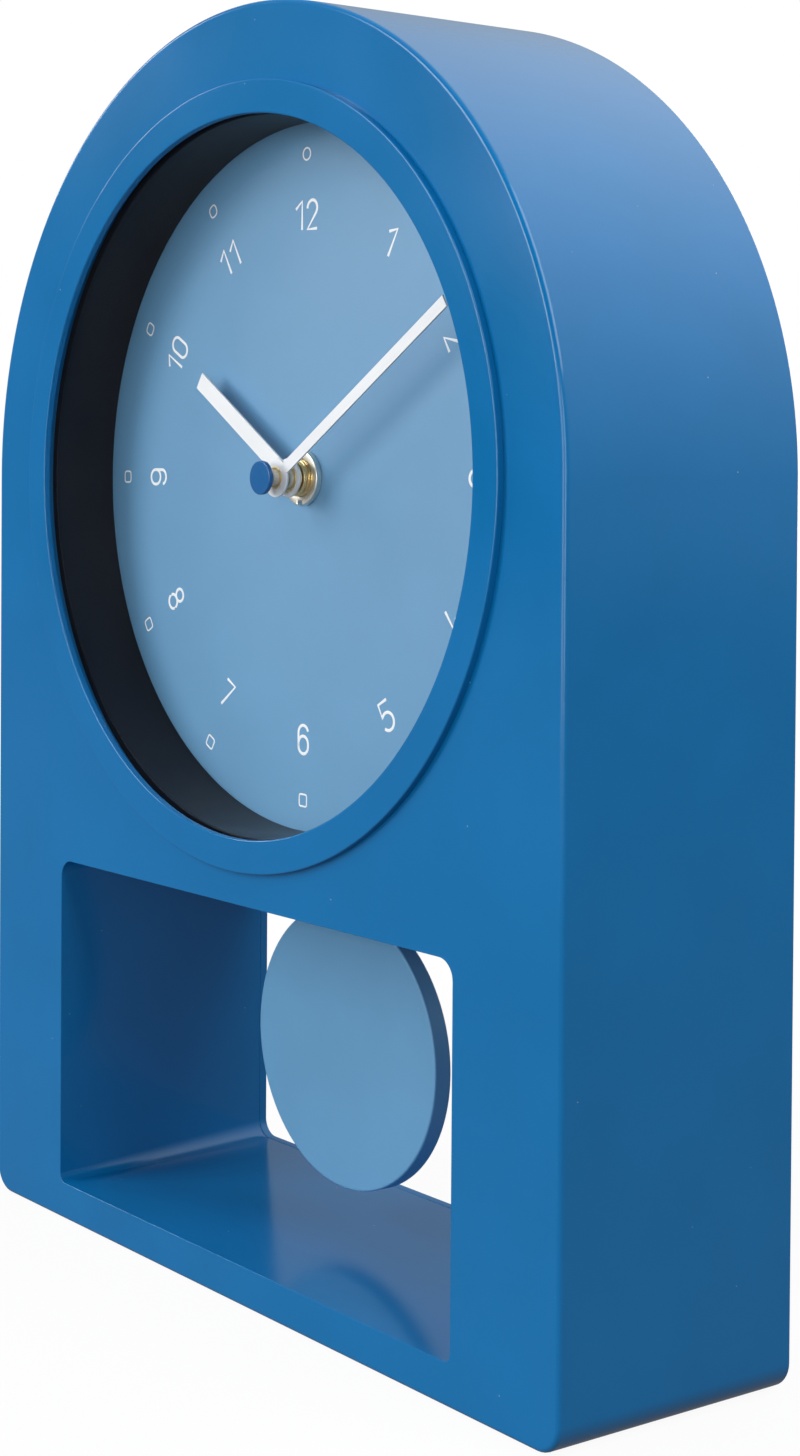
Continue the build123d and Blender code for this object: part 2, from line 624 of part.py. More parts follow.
def make_third_wheel():
    back = THIRD_WHEEL_DIRECTION + 180
    wheel = gear(THIRD_WHEEL_TEETH, THIRD_MODULE, THIRD_AXIS, back, THIRD_WHEEL_Y, TRAIN_WHEEL, True)
    pinion = gear(
        THIRD_PINION_TEETH, TRAIN_MODULE, THIRD_AXIS, back,
        CENTRE_WHEEL_Y, THIRD_WHEEL_Y - CENTRE_WHEEL_Y, True,
    )
    return wheel.fuse(pinion, pin(THIRD_AXIS, ARBOR_RADIUS, PLATE_Y, PIVOT_END_Y))


def make_centre_wheel():
    wheel = gear(
        CENTRE_WHEEL_TEETH, TRAIN_MODULE, SHAFT, THIRD_WHEEL_DIRECTION, CENTRE_WHEEL_Y, TRAIN_WHEEL
    )
    bore = MINUTE_ARBOR_RADIUS + RUNNING_GAP
    return wheel - pin(SHAFT, bore, CENTRE_WHEEL_Y, CENTRE_WHEEL_Y + TRAIN_WHEEL)


def make_intermediate_wheel():
    wheel = gear(
        INTERMEDIATE_WHEEL_TEETH, TRAIN_MODULE, INTERMEDIATE_AXIS, ROTOR_DIRECTION,
        INTERMEDIATE_WHEEL_Y, TRAIN_WHEEL,
    )
    pinion = gear(
        INTERMEDIATE_PINION_TEETH, TRAIN_MODULE, INTERMEDIATE_AXIS, INTERMEDIATE_DIRECTION + 180,
        SECONDS_WHEEL_Y, INTERMEDIATE_WHEEL_Y - SECONDS_WHEEL_Y, True,
    )
    return wheel.fuse(pinion, pin(INTERMEDIATE_AXIS, ARBOR_RADIUS, PLATE_Y, PIVOT_END_Y))


def make_rotor():
    pinion = gear(
        ROTOR_PINION_TEETH, TRAIN_MODULE, ROTOR_AXIS, ROTOR_DIRECTION + 180,
        INTERMEDIATE_WHEEL_Y, MAGNET_Y - INTERMEDIATE_WHEEL_Y, True,
    )
    magnet = pin(ROTOR_AXIS, MAGNET_RADIUS, MAGNET_Y, MAGNET_Y + MAGNET_LENGTH)
    return pinion.fuse(magnet, pin(ROTOR_AXIS, ARBOR_RADIUS, PLATE_Y, PIVOT_END_Y))


# Movement shells and what they hold

def plate_post_places():
    side = PLATE_HALF_WIDTH - PLATE_POST_INSET
    low = PLATE_BOTTOM + PLATE_POST_INSET
    high = PLATE_TOP - PLATE_POST_INSET
    return [(x, z) for x in (-side, side) for z in (low, high)]


def make_movement_housing():
    tray = slab(movement_outline(), MOVEMENT_Y, LID_Y)
    tray -= slab(movement_outline(MOVEMENT_WALL), MOVEMENT_INNER_Y, LID_Y)
    adds = [pin(place, PLATE_POST_RADIUS, MOVEMENT_INNER_Y, PLATE_Y) for place in plate_post_places()]
    for side in (-1, 1):
        height = BATTERY_Z + side * (BAY_HALF_HEIGHT + BAY_RIB / 2)
        rib = Pos(0, height) * Rectangle(MOVEMENT_WIDTH - MOVEMENT_WALL, BAY_RIB)
        adds.append(slab(rib, MOVEMENT_INNER_Y, LID_Y))
    adds.append(pin(PIVOT_AXIS, ARM_PIVOT_RADIUS, MOVEMENT_INNER_Y, ARM_BOSS_Y[0] - ARM_SIDE_GAP))
    peg_end = MOVEMENT_INNER_Y + COIL_PEG_LENGTH
    adds.append(pin(MAGNET_AXIS, DRIVE_COIL_BORE - SEAT_GAP, MOVEMENT_INNER_Y, peg_end))
    tray = tray.fuse(*adds)

    half = swing_room(MOVEMENT_BELOW_SHAFT - PIVOT_BELOW_SHAFT, FORK_RADIUS) + SWING_GAP
    mouth = Pos(0, MOVEMENT_BOTTOM) * Rectangle(2 * half, 2 * MOVEMENT_WALL)
    return tray.cut(
        pin(SHAFT, BUSH_RADIUS + FIXED_GAP, MOVEMENT_Y, MOVEMENT_INNER_Y),
        pin(SETTING_AXIS, SETTING_ARBOR_RADIUS + RUNNING_GAP, PIVOT_START_Y, MOVEMENT_INNER_Y),
        pin(PIVOT_AXIS, PIVOT_RADIUS + FIXED_GAP, PIVOT_START_Y, ARM_BOSS_Y[0]),
        slab(mouth, ARM_BOSS_Y[0] - SWING_GAP, LID_Y),
    )


def make_movement_cover():
    outline = movement_outline()
    bay = Rectangle(BATTERY_LENGTH + BATTERY_GAP, 2 * BAY_HALF_HEIGHT)
    cover = slab(outline - Pos(0, BATTERY_Z) * bay, LID_Y, MOVEMENT_REAR_Y)
    adds = [pin(PIVOT_AXIS, ARM_PIVOT_RADIUS, ARM_BOSS_Y[1] + ARM_SIDE_GAP, LID_Y)]
    for side in (-1, 1):
        corner = (COIL_AXIS[0] + side * STATOR_HALF_SPAN, COIL_AXIS[1])
        adds.append(pin(corner, STATOR_POST_RADIUS, STATOR_Y + STATOR_THICKNESS, LID_Y))
        for end in (-1, 1):
            inset = BOARD_POST_RADIUS + PLATE_GAP
            corner = (
                BOARD_AXIS[0] + side * (BOARD_WIDTH / 2 - inset),
                BOARD_AXIS[1] + end * (BOARD_HEIGHT / 2 - inset),
            )
            adds.append(pin(corner, BOARD_POST_RADIUS, BOARD_REAR_Y, LID_Y))
    cover = cover.fuse(*adds)
    holes = [pin(axis, ARBOR_RADIUS + RUNNING_GAP, LID_Y, PIVOT_END_Y)
             for axis in (THIRD_AXIS, INTERMEDIATE_AXIS, ROTOR_AXIS)]
    holes.append(pin(SHAFT, SECONDS_ARBOR_RADIUS + RUNNING_GAP, LID_Y, PIVOT_END_Y))
    holes.append(pin(SETTING_AXIS, SETTING_ARBOR_RADIUS + RUNNING_GAP, LID_Y, MOVEMENT_REAR_Y))
    holes.append(pin(PIVOT_AXIS, PIVOT_RADIUS + FIXED_GAP, ARM_BOSS_Y[1], PIVOT_END_Y))
    return cover.cut(*holes)


def make_train_plate():
    plate = RectangleRounded(2 * PLATE_HALF_WIDTH, PLATE_TOP - PLATE_BOTTOM, MOVEMENT_CORNER_RADIUS)
    outline = Pos(0, (PLATE_BOTTOM + PLATE_TOP) / 2) * plate
    for axis in (THIRD_AXIS, INTERMEDIATE_AXIS, ROTOR_AXIS):
        outline -= disc(axis, ARBOR_RADIUS + RUNNING_GAP)
    outline -= disc(SHAFT, MINUTE_ARBOR_RADIUS + RUNNING_GAP)
    outline -= disc(SETTING_AXIS, SETTING_ARBOR_RADIUS + RUNNING_GAP)
    return slab(outline, PLATE_Y, PLATE_Y + PLATE_THICKNESS)


def along_x(radius, x_left, x_right, y, z):
    """Round bar along X."""
    view = Plane(origin=(x_left, y, z), x_dir=(0, 1, 0), z_dir=(1, 0, 0))
    return extrude(view * Circle(radius), amount=x_right - x_left)


def make_battery():
    left = -BATTERY_LENGTH / 2
    right = BATTERY_LENGTH / 2
    cell = along_x(BATTERY_RADIUS, left, right - BATTERY_NUB_LENGTH, BATTERY_Y, BATTERY_Z)
    nub = along_x(BATTERY_NUB_RADIUS, right - BATTERY_NUB_LENGTH, right, BATTERY_Y, BATTERY_Z)
    return cell.fuse(nub)


def make_battery_contact(side):
    """Contact plate against the side wall, with a pressed bump that reaches the cell."""
    wall = side * (MOVEMENT_WIDTH / 2 - MOVEMENT_WALL)
    face = wall - side * CONTACT_THICKNESS
    cell = side * BATTERY_LENGTH / 2
    plate = Box(CONTACT_THICKNESS, CONTACT_WIDTH, CONTACT_WIDTH)
    plate = Pos((wall + face) / 2, BATTERY_Y, BATTERY_Z) * plate
    bump = along_x(CONTACT_BUMP_RADIUS, min(cell, face), max(cell, face), BATTERY_Y, BATTERY_Z)
    return plate.fuse(bump)


def make_stator():
    """Flat steel frame: core bar inside the coil, two legs, and a ring round the rotor."""
    width = 2 * STATOR_HALF_SPAN + STATOR_BAR
    outline = Pos(COIL_AXIS[0], (COIL_AXIS[1] + ROTOR_AXIS[1]) / 2) * (
        Rectangle(width, COIL_RISE + STATOR_BAR) - Rectangle(width - 2 * STATOR_BAR, COIL_RISE - STATOR_BAR)
    )
    hole = MAGNET_RADIUS + STATOR_GAP
    outline += disc(ROTOR_AXIS, hole + STATOR_RING)
    outline -= disc(ROTOR_AXIS, hole)
    return slab(outline, STATOR_Y, STATOR_Y + STATOR_THICKNESS)


def make_motor_coil():
    half = COIL_LENGTH / 2
    middle = STATOR_Y + STATOR_THICKNESS / 2
    left = COIL_AXIS[0] - half
    right = COIL_AXIS[0] + half
    winding = along_x(COIL_RADIUS, left, right, middle, COIL_AXIS[1])
    flanges = [along_x(COIL_FLANGE_RADIUS, start, start + COIL_FLANGE, middle, COIL_AXIS[1])
               for start in (left, right - COIL_FLANGE)]
    coil = winding.fuse(*flanges)
    bore = Box(COIL_LENGTH, STATOR_THICKNESS + 2 * FIXED_GAP, STATOR_BAR + 2 * FIXED_GAP)
    return coil - Pos(COIL_AXIS[0], middle, COIL_AXIS[1]) * bore


def make_circuit_board():
    outline = Pos(*BOARD_AXIS) * RectangleRounded(BOARD_WIDTH, BOARD_HEIGHT, BOARD_CORNER_RADIUS)
    return slab(outline, BOARD_REAR_Y - BOARD_THICKNESS, BOARD_REAR_Y)


# Pendulum and its drive

def make_pendulum_coil():
    front = MOVEMENT_INNER_Y
    rear = ARM_BOSS_Y[0] - DRIVE_COIL_GAP
    flange = DRIVE_COIL_RADIUS + DRIVE_COIL_LIP
    return turned(MAGNET_AXIS, [
        (DRIVE_COIL_BORE, front),
        (flange, front),
        (flange, front + DRIVE_COIL_FLANGE),
        (DRIVE_COIL_RADIUS, front + DRIVE_COIL_FLANGE),
        (DRIVE_COIL_RADIUS, rear - DRIVE_COIL_FLANGE),
        (flange, rear - DRIVE_COIL_FLANGE),
        (flange, rear),
        (DRIVE_COIL_BORE, rear),
    ])


def make_pivot_pin():
    return pin(PIVOT_AXIS, PIVOT_RADIUS, PIVOT_START_Y, PIVOT_END_Y)


def make_pendulum_arm():
    """Lever with a pivot boss, a pocket for the magnet and a fork for the rod."""
    bar = Pos(0, PIVOT_AXIS[1] - ARM_LENGTH / 2) * Rectangle(ARM_WIDTH, ARM_LENGTH)
    arm = slab(bar, *ARM_Y).fuse(
        pin(PIVOT_AXIS, ARM_PIVOT_RADIUS, *ARM_BOSS_Y),
        pin(MAGNET_AXIS, PENDULUM_MAGNET_RADIUS + MAGNET_RIM, *ARM_BOSS_Y),
        pin(HANGER_AXIS, FORK_RADIUS, *ARM_BOSS_Y),
    )
    slot_depth = EYELET_THICKNESS + 2 * FORK_GAP
    slot_top = HANGER_AXIS[1] + EYELET_RADIUS + FORK_GAP
    slot_bottom = HANGER_AXIS[1] - FORK_RADIUS
    slot = Box(2 * FORK_RADIUS, slot_depth, slot_top - slot_bottom)
    slot = Pos(0, SWING_Y, (slot_top + slot_bottom) / 2) * slot
    pocket = PENDULUM_MAGNET_RADIUS + FIXED_GAP
    return arm.cut(
        pin(PIVOT_AXIS, PIVOT_RADIUS + RUNNING_GAP, *ARM_BOSS_Y),
        pin(MAGNET_AXIS, pocket, ARM_BOSS_Y[0], ARM_BOSS_Y[0] + PENDULUM_MAGNET_LENGTH),
        pin(HANGER_AXIS, HANGER_RADIUS + FIXED_GAP, *ARM_BOSS_Y),
        slot,
    )


def make_pendulum_magnet():
    return pin(MAGNET_AXIS, PENDULUM_MAGNET_RADIUS, ARM_BOSS_Y[0], ARM_BOSS_Y[0] + PENDULUM_MAGNET_LENGTH)


def make_hanger_pin():
    return pin(HANGER_AXIS, HANGER_RADIUS, *ARM_BOSS_Y)


def bob_top():
    return BOB_AXIS[1] + BOB_RADIUS


def make_pendulum_rod():
    foot = bob_top() - BOB_SOCKET_DEPTH
    wire = extrude(Pos(0, SWING_Y, foot) * Circle(ROD_RADIUS), amount=HANGER_AXIS[1] - foot)
    half = EYELET_THICKNESS / 2
    eyelet = pin(HANGER_AXIS, EYELET_RADIUS, SWING_Y - half, SWING_Y + half)
    reach = max(half, ROD_RADIUS)
    hole = pin(HANGER_AXIS, HANGER_RADIUS + FIXED_GAP, SWING_Y - reach, SWING_Y + reach)
    return wire.fuse(eyelet) - hole


def make_pendulum_bob():
    front = SWING_Y - BOB_THICKNESS / 2
    rear = SWING_Y + BOB_THICKNESS / 2
    bob = pin(BOB_AXIS, BOB_RADIUS, front, rear)
    bob = chamfer(bob.edges().filter_by(GeomType.CIRCLE), BOB_EDGE_BREAK)
    socket = Pos(0, SWING_Y, bob_top() - BOB_SOCKET_DEPTH) * Circle(ROD_RADIUS + FIXED_GAP)
    return bob - extrude(socket, amount=BOB_SOCKET_DEPTH)


PIECES = {
    "case_shell": make_case_shell(),
    "bezel_ring": make_bezel_ring(),
    "lens": make_lens(),
    "spacer_ring": make_spacer_ring(),
    "dial": make_dial(),
    "dial_screws": make_dial_screws(),
    "back_cover": make_back_cover(),
    "cover_screws": make_cover_screws(),
    "threaded_bush": make_threaded_bush(),
    "fixing_nut": make_fixing_nut(),
    "rubber_washer": make_rubber_washer(),
    "hour_hand": make_hand(
        HOUR_HAND_LENGTH, HOUR_HAND_WIDTH, HOUR_HAND_ANGLE, HOUR_HAND_HEIGHT,
        HOUR_TUBE_RADIUS + COLLET_WALL + FIXED_GAP,
    ),
    "hour_hand_collet": make_collet(HOUR_TUBE_RADIUS, HOUR_HAND_HEIGHT),
    "minute_hand": make_hand(
        MINUTE_HAND_LENGTH, MINUTE_HAND_WIDTH, MINUTE_HAND_ANGLE, MINUTE_HAND_HEIGHT,
        MINUTE_ARBOR_RADIUS + COLLET_WALL + FIXED_GAP,
    ),
    "minute_hand_collet": make_collet(MINUTE_ARBOR_RADIUS, MINUTE_HAND_HEIGHT),
    "seconds_cap": make_seconds_cap(),
    "minute_arbor": make_minute_arbor(),
    "hour_wheel": make_hour_wheel(),
    "minute_wheel": make_minute_wheel(),
    "setting_knob": make_setting_knob(),
    "seconds_wheel": make_seconds_wheel(),
    "third_wheel": make_third_wheel(),
    "centre_wheel": make_centre_wheel(),
    "intermediate_wheel": make_intermediate_wheel(),
    "rotor": make_rotor(),
    "movement_housing": make_movement_housing(),
    "movement_cover": make_movement_cover(),
    "train_plate": make_train_plate(),
    "battery": make_battery(),
    "battery_contact_plus": make_battery_contact(1),
    "battery_contact_minus": make_battery_contact(-1),
    "stator": make_stator(),
    "motor_coil": make_motor_coil(),
    "circuit_board": make_circuit_board(),
    "pendulum_coil": make_pendulum_coil(),
    "pivot_pin": make_pivot_pin(),
    "pendulum_arm": make_pendulum_arm(),
    "pendulum_magnet": make_pendulum_magnet(),
    "hanger_pin": make_hanger_pin(),
    "pendulum_rod": make_pendulum_rod(),
    "pendulum_bob": make_pendulum_bob(),
}

os.makedirs("parts", exist_ok=True)
for name, piece in PIECES.items():
    export_step(piece, os.path.join("parts", name + ".step"))
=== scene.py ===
from math import asin, cos, degrees, pi, radians, sin

import bmesh
import bpy
from mathutils import Matrix, Vector


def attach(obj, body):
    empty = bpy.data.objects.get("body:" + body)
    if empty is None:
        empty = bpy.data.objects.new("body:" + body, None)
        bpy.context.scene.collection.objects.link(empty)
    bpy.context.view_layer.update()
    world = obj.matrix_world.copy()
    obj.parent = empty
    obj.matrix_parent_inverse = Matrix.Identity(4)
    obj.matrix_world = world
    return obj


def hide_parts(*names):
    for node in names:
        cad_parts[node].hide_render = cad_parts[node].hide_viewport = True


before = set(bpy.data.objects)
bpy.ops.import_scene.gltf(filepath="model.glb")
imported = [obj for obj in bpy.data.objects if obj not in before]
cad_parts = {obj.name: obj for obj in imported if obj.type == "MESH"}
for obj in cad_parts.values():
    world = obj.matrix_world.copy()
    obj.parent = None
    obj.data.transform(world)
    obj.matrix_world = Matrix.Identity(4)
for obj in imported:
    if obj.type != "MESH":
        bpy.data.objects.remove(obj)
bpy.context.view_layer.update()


# The photograph's viewpoint: a camera at dial height, under half a metre off the clock's right front edge.
# The clock fills a tall frame that lies low and to the right of the lens axis, hence the shift.
camera = bpy.data.objects.new("viewpoint", bpy.data.cameras.new("viewpoint"))
camera.location = (0.41635, -0.32911, 0.17668)
camera.rotation_euler = [radians(turn) for turn in (88.9885, -0.2926, 56.3358)]
camera.data.sensor_width = 36.0
camera.data.lens = 59.745
camera.data.shift_x = 0.1719
camera.data.shift_y = -0.1452
bpy.context.scene.collection.objects.link(camera)
bpy.context.scene.camera = camera


# The studio: a white floor and backdrop in a room that is dimmer at the back, and six soft boxes on stands.
# The main one and its fill stand at the left front; the others stand right, left, above the side and behind.
FLOOR_SIZE = 6.0
FLOOR_DROP = 0.0003
FLOOR_SHOWS_SHADOW = 0.06
FLOOR_WHITE = 0.9
FLOOR_BOUNCE = (0.11, 0.06)
FLOOR_MIRRORED = 0.21
SHADOW_REACH = (0.15, 0.40)
ROOM_LIGHT = (0.40, 0.05)
ROOM_DIMS_OVER = (-0.5, 0.5)
ROOM_MIRRORED = 0.28
ROOM_DARK_FRONT = (-0.62, -0.44)
CEILING_MIRRORED = 1.9
CEILING_BRIGHTEST = (0.19, 0.66, 0.73)
CEILING_STARTS = -0.4
CEILING_FALLS_OFF = 5.0
ROOM_TINT = (0.87, 0.95, 1.0, 1.0)
PLAIN_WHITE = (1.0, 1.0, 1.0, 1.0)


def add_node(tree, kind, inputs=None, **settings):
    """New node; an input is given as a value or as the socket that feeds it."""
    made = tree.nodes.new(kind)
    for name, value in settings.items():
        setattr(made, name, value)
    for name, value in (inputs or {}).items():
        if isinstance(value, bpy.types.NodeSocket):
            tree.links.new(value, made.inputs[name])
        else:
            made.inputs[name].default_value = value
    return made


def math_node(tree, operation, *numbers):
    """Number worked out from others."""
    return add_node(tree, "ShaderNodeMath", dict(enumerate(numbers)), operation=operation).outputs[0]


def chosen(tree, share, first, second):
    """First where the share is 0, second where it is 1, and a mix in between."""
    return add_node(tree, "ShaderNodeMix", {0: share, 2: first, 3: second}).outputs[0]


def looked_at(tree):
    """1 where the eye looks straight or through a lens; and 1 where it sees a reflection."""
    path = add_node(tree, "ShaderNodeLightPath").outputs
    straight = math_node(tree, "MAXIMUM", path["Is Camera Ray"], path["Is Transmission Ray"])
    return straight, path["Is Glossy Ray"]


surround = bpy.data.worlds.new("white_surround")
surround.use_nodes = True
surround_tree = surround.node_tree
surround_tree.nodes.clear()
way = add_node(surround_tree, "ShaderNodeTexCoord").outputs["Generated"]
back = add_node(surround_tree, "ShaderNodeSeparateXYZ", {0: way}).outputs["Y"]
room_light = add_node(surround_tree, "ShaderNodeMapRange", {
    "Value": back, "From Min": ROOM_DIMS_OVER[0], "From Max": ROOM_DIMS_OVER[1],
    "To Min": ROOM_LIGHT[0], "To Max": ROOM_LIGHT[1],
})
room_mirrored = add_node(surround_tree, "ShaderNodeMapRange", {
    "Value": back, "From Min": ROOM_DARK_FRONT[0], "From Max": ROOM_DARK_FRONT[1], "To Max": ROOM_MIRRORED,
})
upward = add_node(
    surround_tree, "ShaderNodeVectorMath", {0: way, 1: CEILING_BRIGHTEST}, operation="DOT_PRODUCT"
)
near_top = add_node(surround_tree, "ShaderNodeMapRange", {
    "Value": upward.outputs["Value"], "From Min": CEILING_STARTS,
})
gathered = math_node(surround_tree, "POWER", near_top.outputs[0], CEILING_FALLS_OFF)
all_mirrored = math_node(
    surround_tree, "MULTIPLY_ADD", gathered, CEILING_MIRRORED, room_mirrored.outputs[0]
)
surround_straight, surround_glossy = looked_at(surround_tree)
surround_strength = chosen(surround_tree, surround_glossy, room_light.outputs[0], all_mirrored)
surround_colour = add_node(
    surround_tree, "ShaderNodeMix", {0: surround_straight, 6: ROOM_TINT, 7: PLAIN_WHITE}, data_type="RGBA"
)
surround_glow = add_node(surround_tree, "ShaderNodeBackground", {
    "Color": surround_colour.outputs[2],
    "Strength": chosen(surround_tree, surround_straight, surround_strength, 1.0),
})
add_node(surround_tree, "ShaderNodeOutputWorld", {"Surface": surround_glow.outputs[0]})
bpy.context.scene.world = surround

floor_white = bpy.data.materials.new("floor_white")
floor_white.use_nodes = True
floor_tree = floor_white.node_tree
floor_tree.nodes.clear()
floor_straight, floor_glossy = looked_at(floor_tree)
floor_place = add_node(floor_tree, "ShaderNodeTexCoord").outputs["Object"]
floor_reach = add_node(floor_tree, "ShaderNodeVectorMath", {0: floor_place}, operation="LENGTH")
floor_away = floor_reach.outputs["Value"]


def floor_level(near, far):
    """Number that changes from the foot of the clock outwards."""
    return add_node(floor_tree, "ShaderNodeMapRange", {
        "Value": floor_away, "From Min": SHADOW_REACH[0], "From Max": SHADOW_REACH[1],
        "To Min": near, "To Max": far,
    }, interpolation_type="SMOOTHSTEP").outputs[0]


floor_glow = chosen(floor_tree, floor_straight, 0.0, floor_level(1.0 - FLOOR_SHOWS_SHADOW, 1.0))
floor_tone = chosen(floor_tree, floor_straight, floor_level(*FLOOR_BOUNCE), FLOOR_WHITE)
floor_mix = add_node(floor_tree, "ShaderNodeMixShader", {
    0: chosen(floor_tree, floor_glossy, floor_glow, FLOOR_MIRRORED),
    1: add_node(floor_tree, "ShaderNodeBsdfDiffuse", {"Color": floor_tone}).outputs[0],
    2: add_node(floor_tree, "ShaderNodeEmission", {"Color": PLAIN_WHITE, "Strength": 1.0}).outputs[0],
})
add_node(floor_tree, "ShaderNodeOutputMaterial", {"Surface": floor_mix.outputs[0]})

floor_mesh = bpy.data.meshes.new("floor")
half_floor = FLOOR_SIZE / 2
floor_corners = [
    (x * half_floor, y * half_floor, -FLOOR_DROP) for x, y in ((-1, -1), (1, -1), (1, 1), (-1, 1))
]
floor_mesh.from_pydata(floor_corners, [], [(0, 1, 2, 3)])
floor_mesh.materials.append(floor_white)
floor = bpy.data.objects.new("floor", floor_mesh)
bpy.context.scene.collection.objects.link(floor)


def soft_lamp(name, place, aim, width, height, power):
    """Soft box that faces the aim."""
    lamp = bpy.data.lights.new(name, "AREA")
    lamp.shape = "RECTANGLE"
    lamp.size = width
    lamp.size_y = height
    lamp.energy = power
    stand = bpy.data.objects.new(name, lamp)
    stand.location = place
    stand.rotation_euler = (Vector(aim) - Vector(place)).to_track_quat("-Z", "Y").to_euler()
    bpy.context.scene.collection.objects.link(stand)


soft_lamp("face_lamp", (-0.88, -1.44, 0.85), aim=(0.0, 0.0, 0.17), width=0.75, height=1.0, power=14.5)
soft_lamp("fill_lamp", (-0.25, -1.20, 0.25), aim=(0.0, 0.0, 0.12), width=1.0, height=0.5, power=4.0)
soft_lamp("right_lamp", (0.80, -1.10, 0.26), aim=(0.0, 0.0, 0.14), width=0.5, height=0.5, power=3.7)
soft_lamp("left_lamp", (-1.12, -0.48, 0.62), aim=(0.0, 0.0, 0.15), width=0.25, height=0.35, power=2.2)
soft_lamp("side_lamp", (0.55, 0.05, 0.64), aim=(0.0, 0.0, 0.20), width=0.5, height=0.5, power=3.7)
soft_lamp("back_lamp", (-0.45, 1.15, 0.40), aim=(0.0, 0.0, 0.15), width=0.6, height=0.6, power=4.5)

bpy.context.scene.view_settings.view_transform = "Standard"


# The case: one blue moulding with an arched band, a flat front, a collar for the dial and a tunnel below it.
# Plastic, sprayed with satin paint. Its front edges are rolled over, and its back is open for the cover.
MM = 0.001
CASE_HALF_WIDTH = 100.0
CASE_WALL = 2.6
FOOT_CORNER = 6.0
FRONT_Y = -29.5
PANEL_REAR_Y = -26.5
REAR_Y = 31.0
COVER_FRONT_Y = 28.5
COVER_REAR_Y = 30.5
FRONT_ROLL = 1.0
REAR_BREAK = 0.4
DIAL_CENTRE = (0.0, 176.0)
DIAL_FACE_Y = -11.5
DIAL_OPENING = 80.2
COLLAR_WALL = 2.0
WINDOW_HALF_WIDTH = 70.3
WINDOW_FLOOR = 8.6
WINDOW_TOP = 85.2
WINDOW_CORNER = 4.0
FLOOR_CORNER = 2.0
FLOOR_RISE = 3.0
STILE_DRAFT = 1.0
WINDOW_ROLL = 0.15
TUNNEL_WALL = 2.2
SEAM_BREAK = 0.15
SWING_Y = 2.3
ROD_SLOT_HALF = (11.78, 2.1)
POST_RADIUS = 4.0
POST_HOLE = 1.5
POST_EDGE = 0.2
COVER_POSTS = [
    (side * x, z) for side in (-1, 1) for x, z in ((85.15, 30.6), (85.15, 105.2), (43.1, 257.1))
]
EAR_RADIUS = 84.9
EAR_BOSS = 3.7
EAR_TURNS = (30, 150, 210, 330)
SHARP_TURN = 40
CASE_BLUE = (0.003, 0.158, 0.410)
PAINT_CLOUD = 0.05
PAINT_GLOSS_VARIES = 0.04
DUST_SPECK = 0.018
DUST_KEEPS = 0.5
DUST_ADDS = 0.3
COAT_ROUGHNESS = 0.08


def arc(centre, radius, start, end, steps):
    """Points along an arc of the front view, in degrees counter-clockwise from the right."""
    turns = [radians(start + (end - start) * step / steps) for step in range(steps + 1)]
    return [(centre[0] + radius * cos(turn), centre[1] + radius * sin(turn)) for turn in turns]


def ring(centre, radius, steps=96):
    """Points of a whole circle."""
    return arc(centre, radius, 0, 360, steps)[:-1]


def rounded_box(left, bottom, right, top, corner, low=None, steps=8):
    """Outline of an upright rectangle with round corners, counter-clockwise from the lower right."""
    low = low or corner
    return (
        arc((right - low, bottom + low), low, -90, 0, steps)
        + arc((right - corner, top - corner), corner, 0, 90, steps)
        + arc((left + corner, top - corner), corner, 90, 180, steps)
        + arc((left + low, bottom + low), low, 180, 270, steps)
    )


def hole(outline):
    """The same outline run the other way, so that the material lies outside it."""
    return outline[::-1]


def inset(outline, depth):
    """Move a closed outline to the left of its run, which is into the material."""
    moved = []
    for before, here, after in zip(outline[-1:] + outline[:-1], outline, outline[1:] + outline[:1]):
        come = (Vector(here) - Vector(before)).normalized()
        go = (Vector(after) - Vector(here)).normalized()
        aside = Vector((-come.y - go.y, come.x + go.x)) / (1 + come.dot(go))
        moved.append(tuple(Vector(here) + aside * depth))
    return moved


def rolled(y, radius, into, steps=6):
    """Stations of an edge rolled over from a flat face at y to the wall behind it."""
    turns = [pi / 2 * step / steps for step in range(steps + 1)]
    return [(radius * (1 - sin(turn)), y + into * radius * (1 - cos(turn))) for turn in turns]


def moulded(*walls):
    """Closed moulding. Each wall is an outline, fixed or by depth, with its stations of (inset, depth)."""
    form = bmesh.new()
    rims = ([], [])
    for outline, stations in walls:
        rings = []
        for depth, y in stations:
            line = inset(outline(y) if callable(outline) else outline, depth)
            rings.append([form.verts.new((x * MM, y * MM, z * MM)) for x, z in line])
        for near, far in zip(rings, rings[1:]):
            for corners in zip(near, near[1:] + near[:1], far[1:] + far[:1], far):
                form.faces.new(corners)
        for rim, edge_ring in zip(rims, (rings[0], rings[-1])):
            rim += [form.edges.get(pair) for pair in zip(edge_ring, edge_ring[1:] + edge_ring[:1])]
    for rim in rims:
        bmesh.ops.triangle_fill(form, edges=rim, use_beauty=True)
    bmesh.ops.recalc_face_normals(form, faces=form.faces)
    return form


def eased(section, steps=5):
    """Round the corners of a section of (radius, depth, ease)."""
    points = []
    for before, here, after in zip(section[-1:] + section[:-1], section, section[1:] + section[:1]):
        corner, ease = Vector(here[:2]), here[2]
        if ease == 0:
            points.append(tuple(corner))
            continue
        start = corner + (Vector(before[:2]) - corner).normalized() * ease
        end = corner + (Vector(after[:2]) - corner).normalized() * ease
        for step in range(steps + 1):
            share = step / steps
            points.append(tuple(start.lerp(corner, share).lerp(corner.lerp(end, share), share)))
    return points


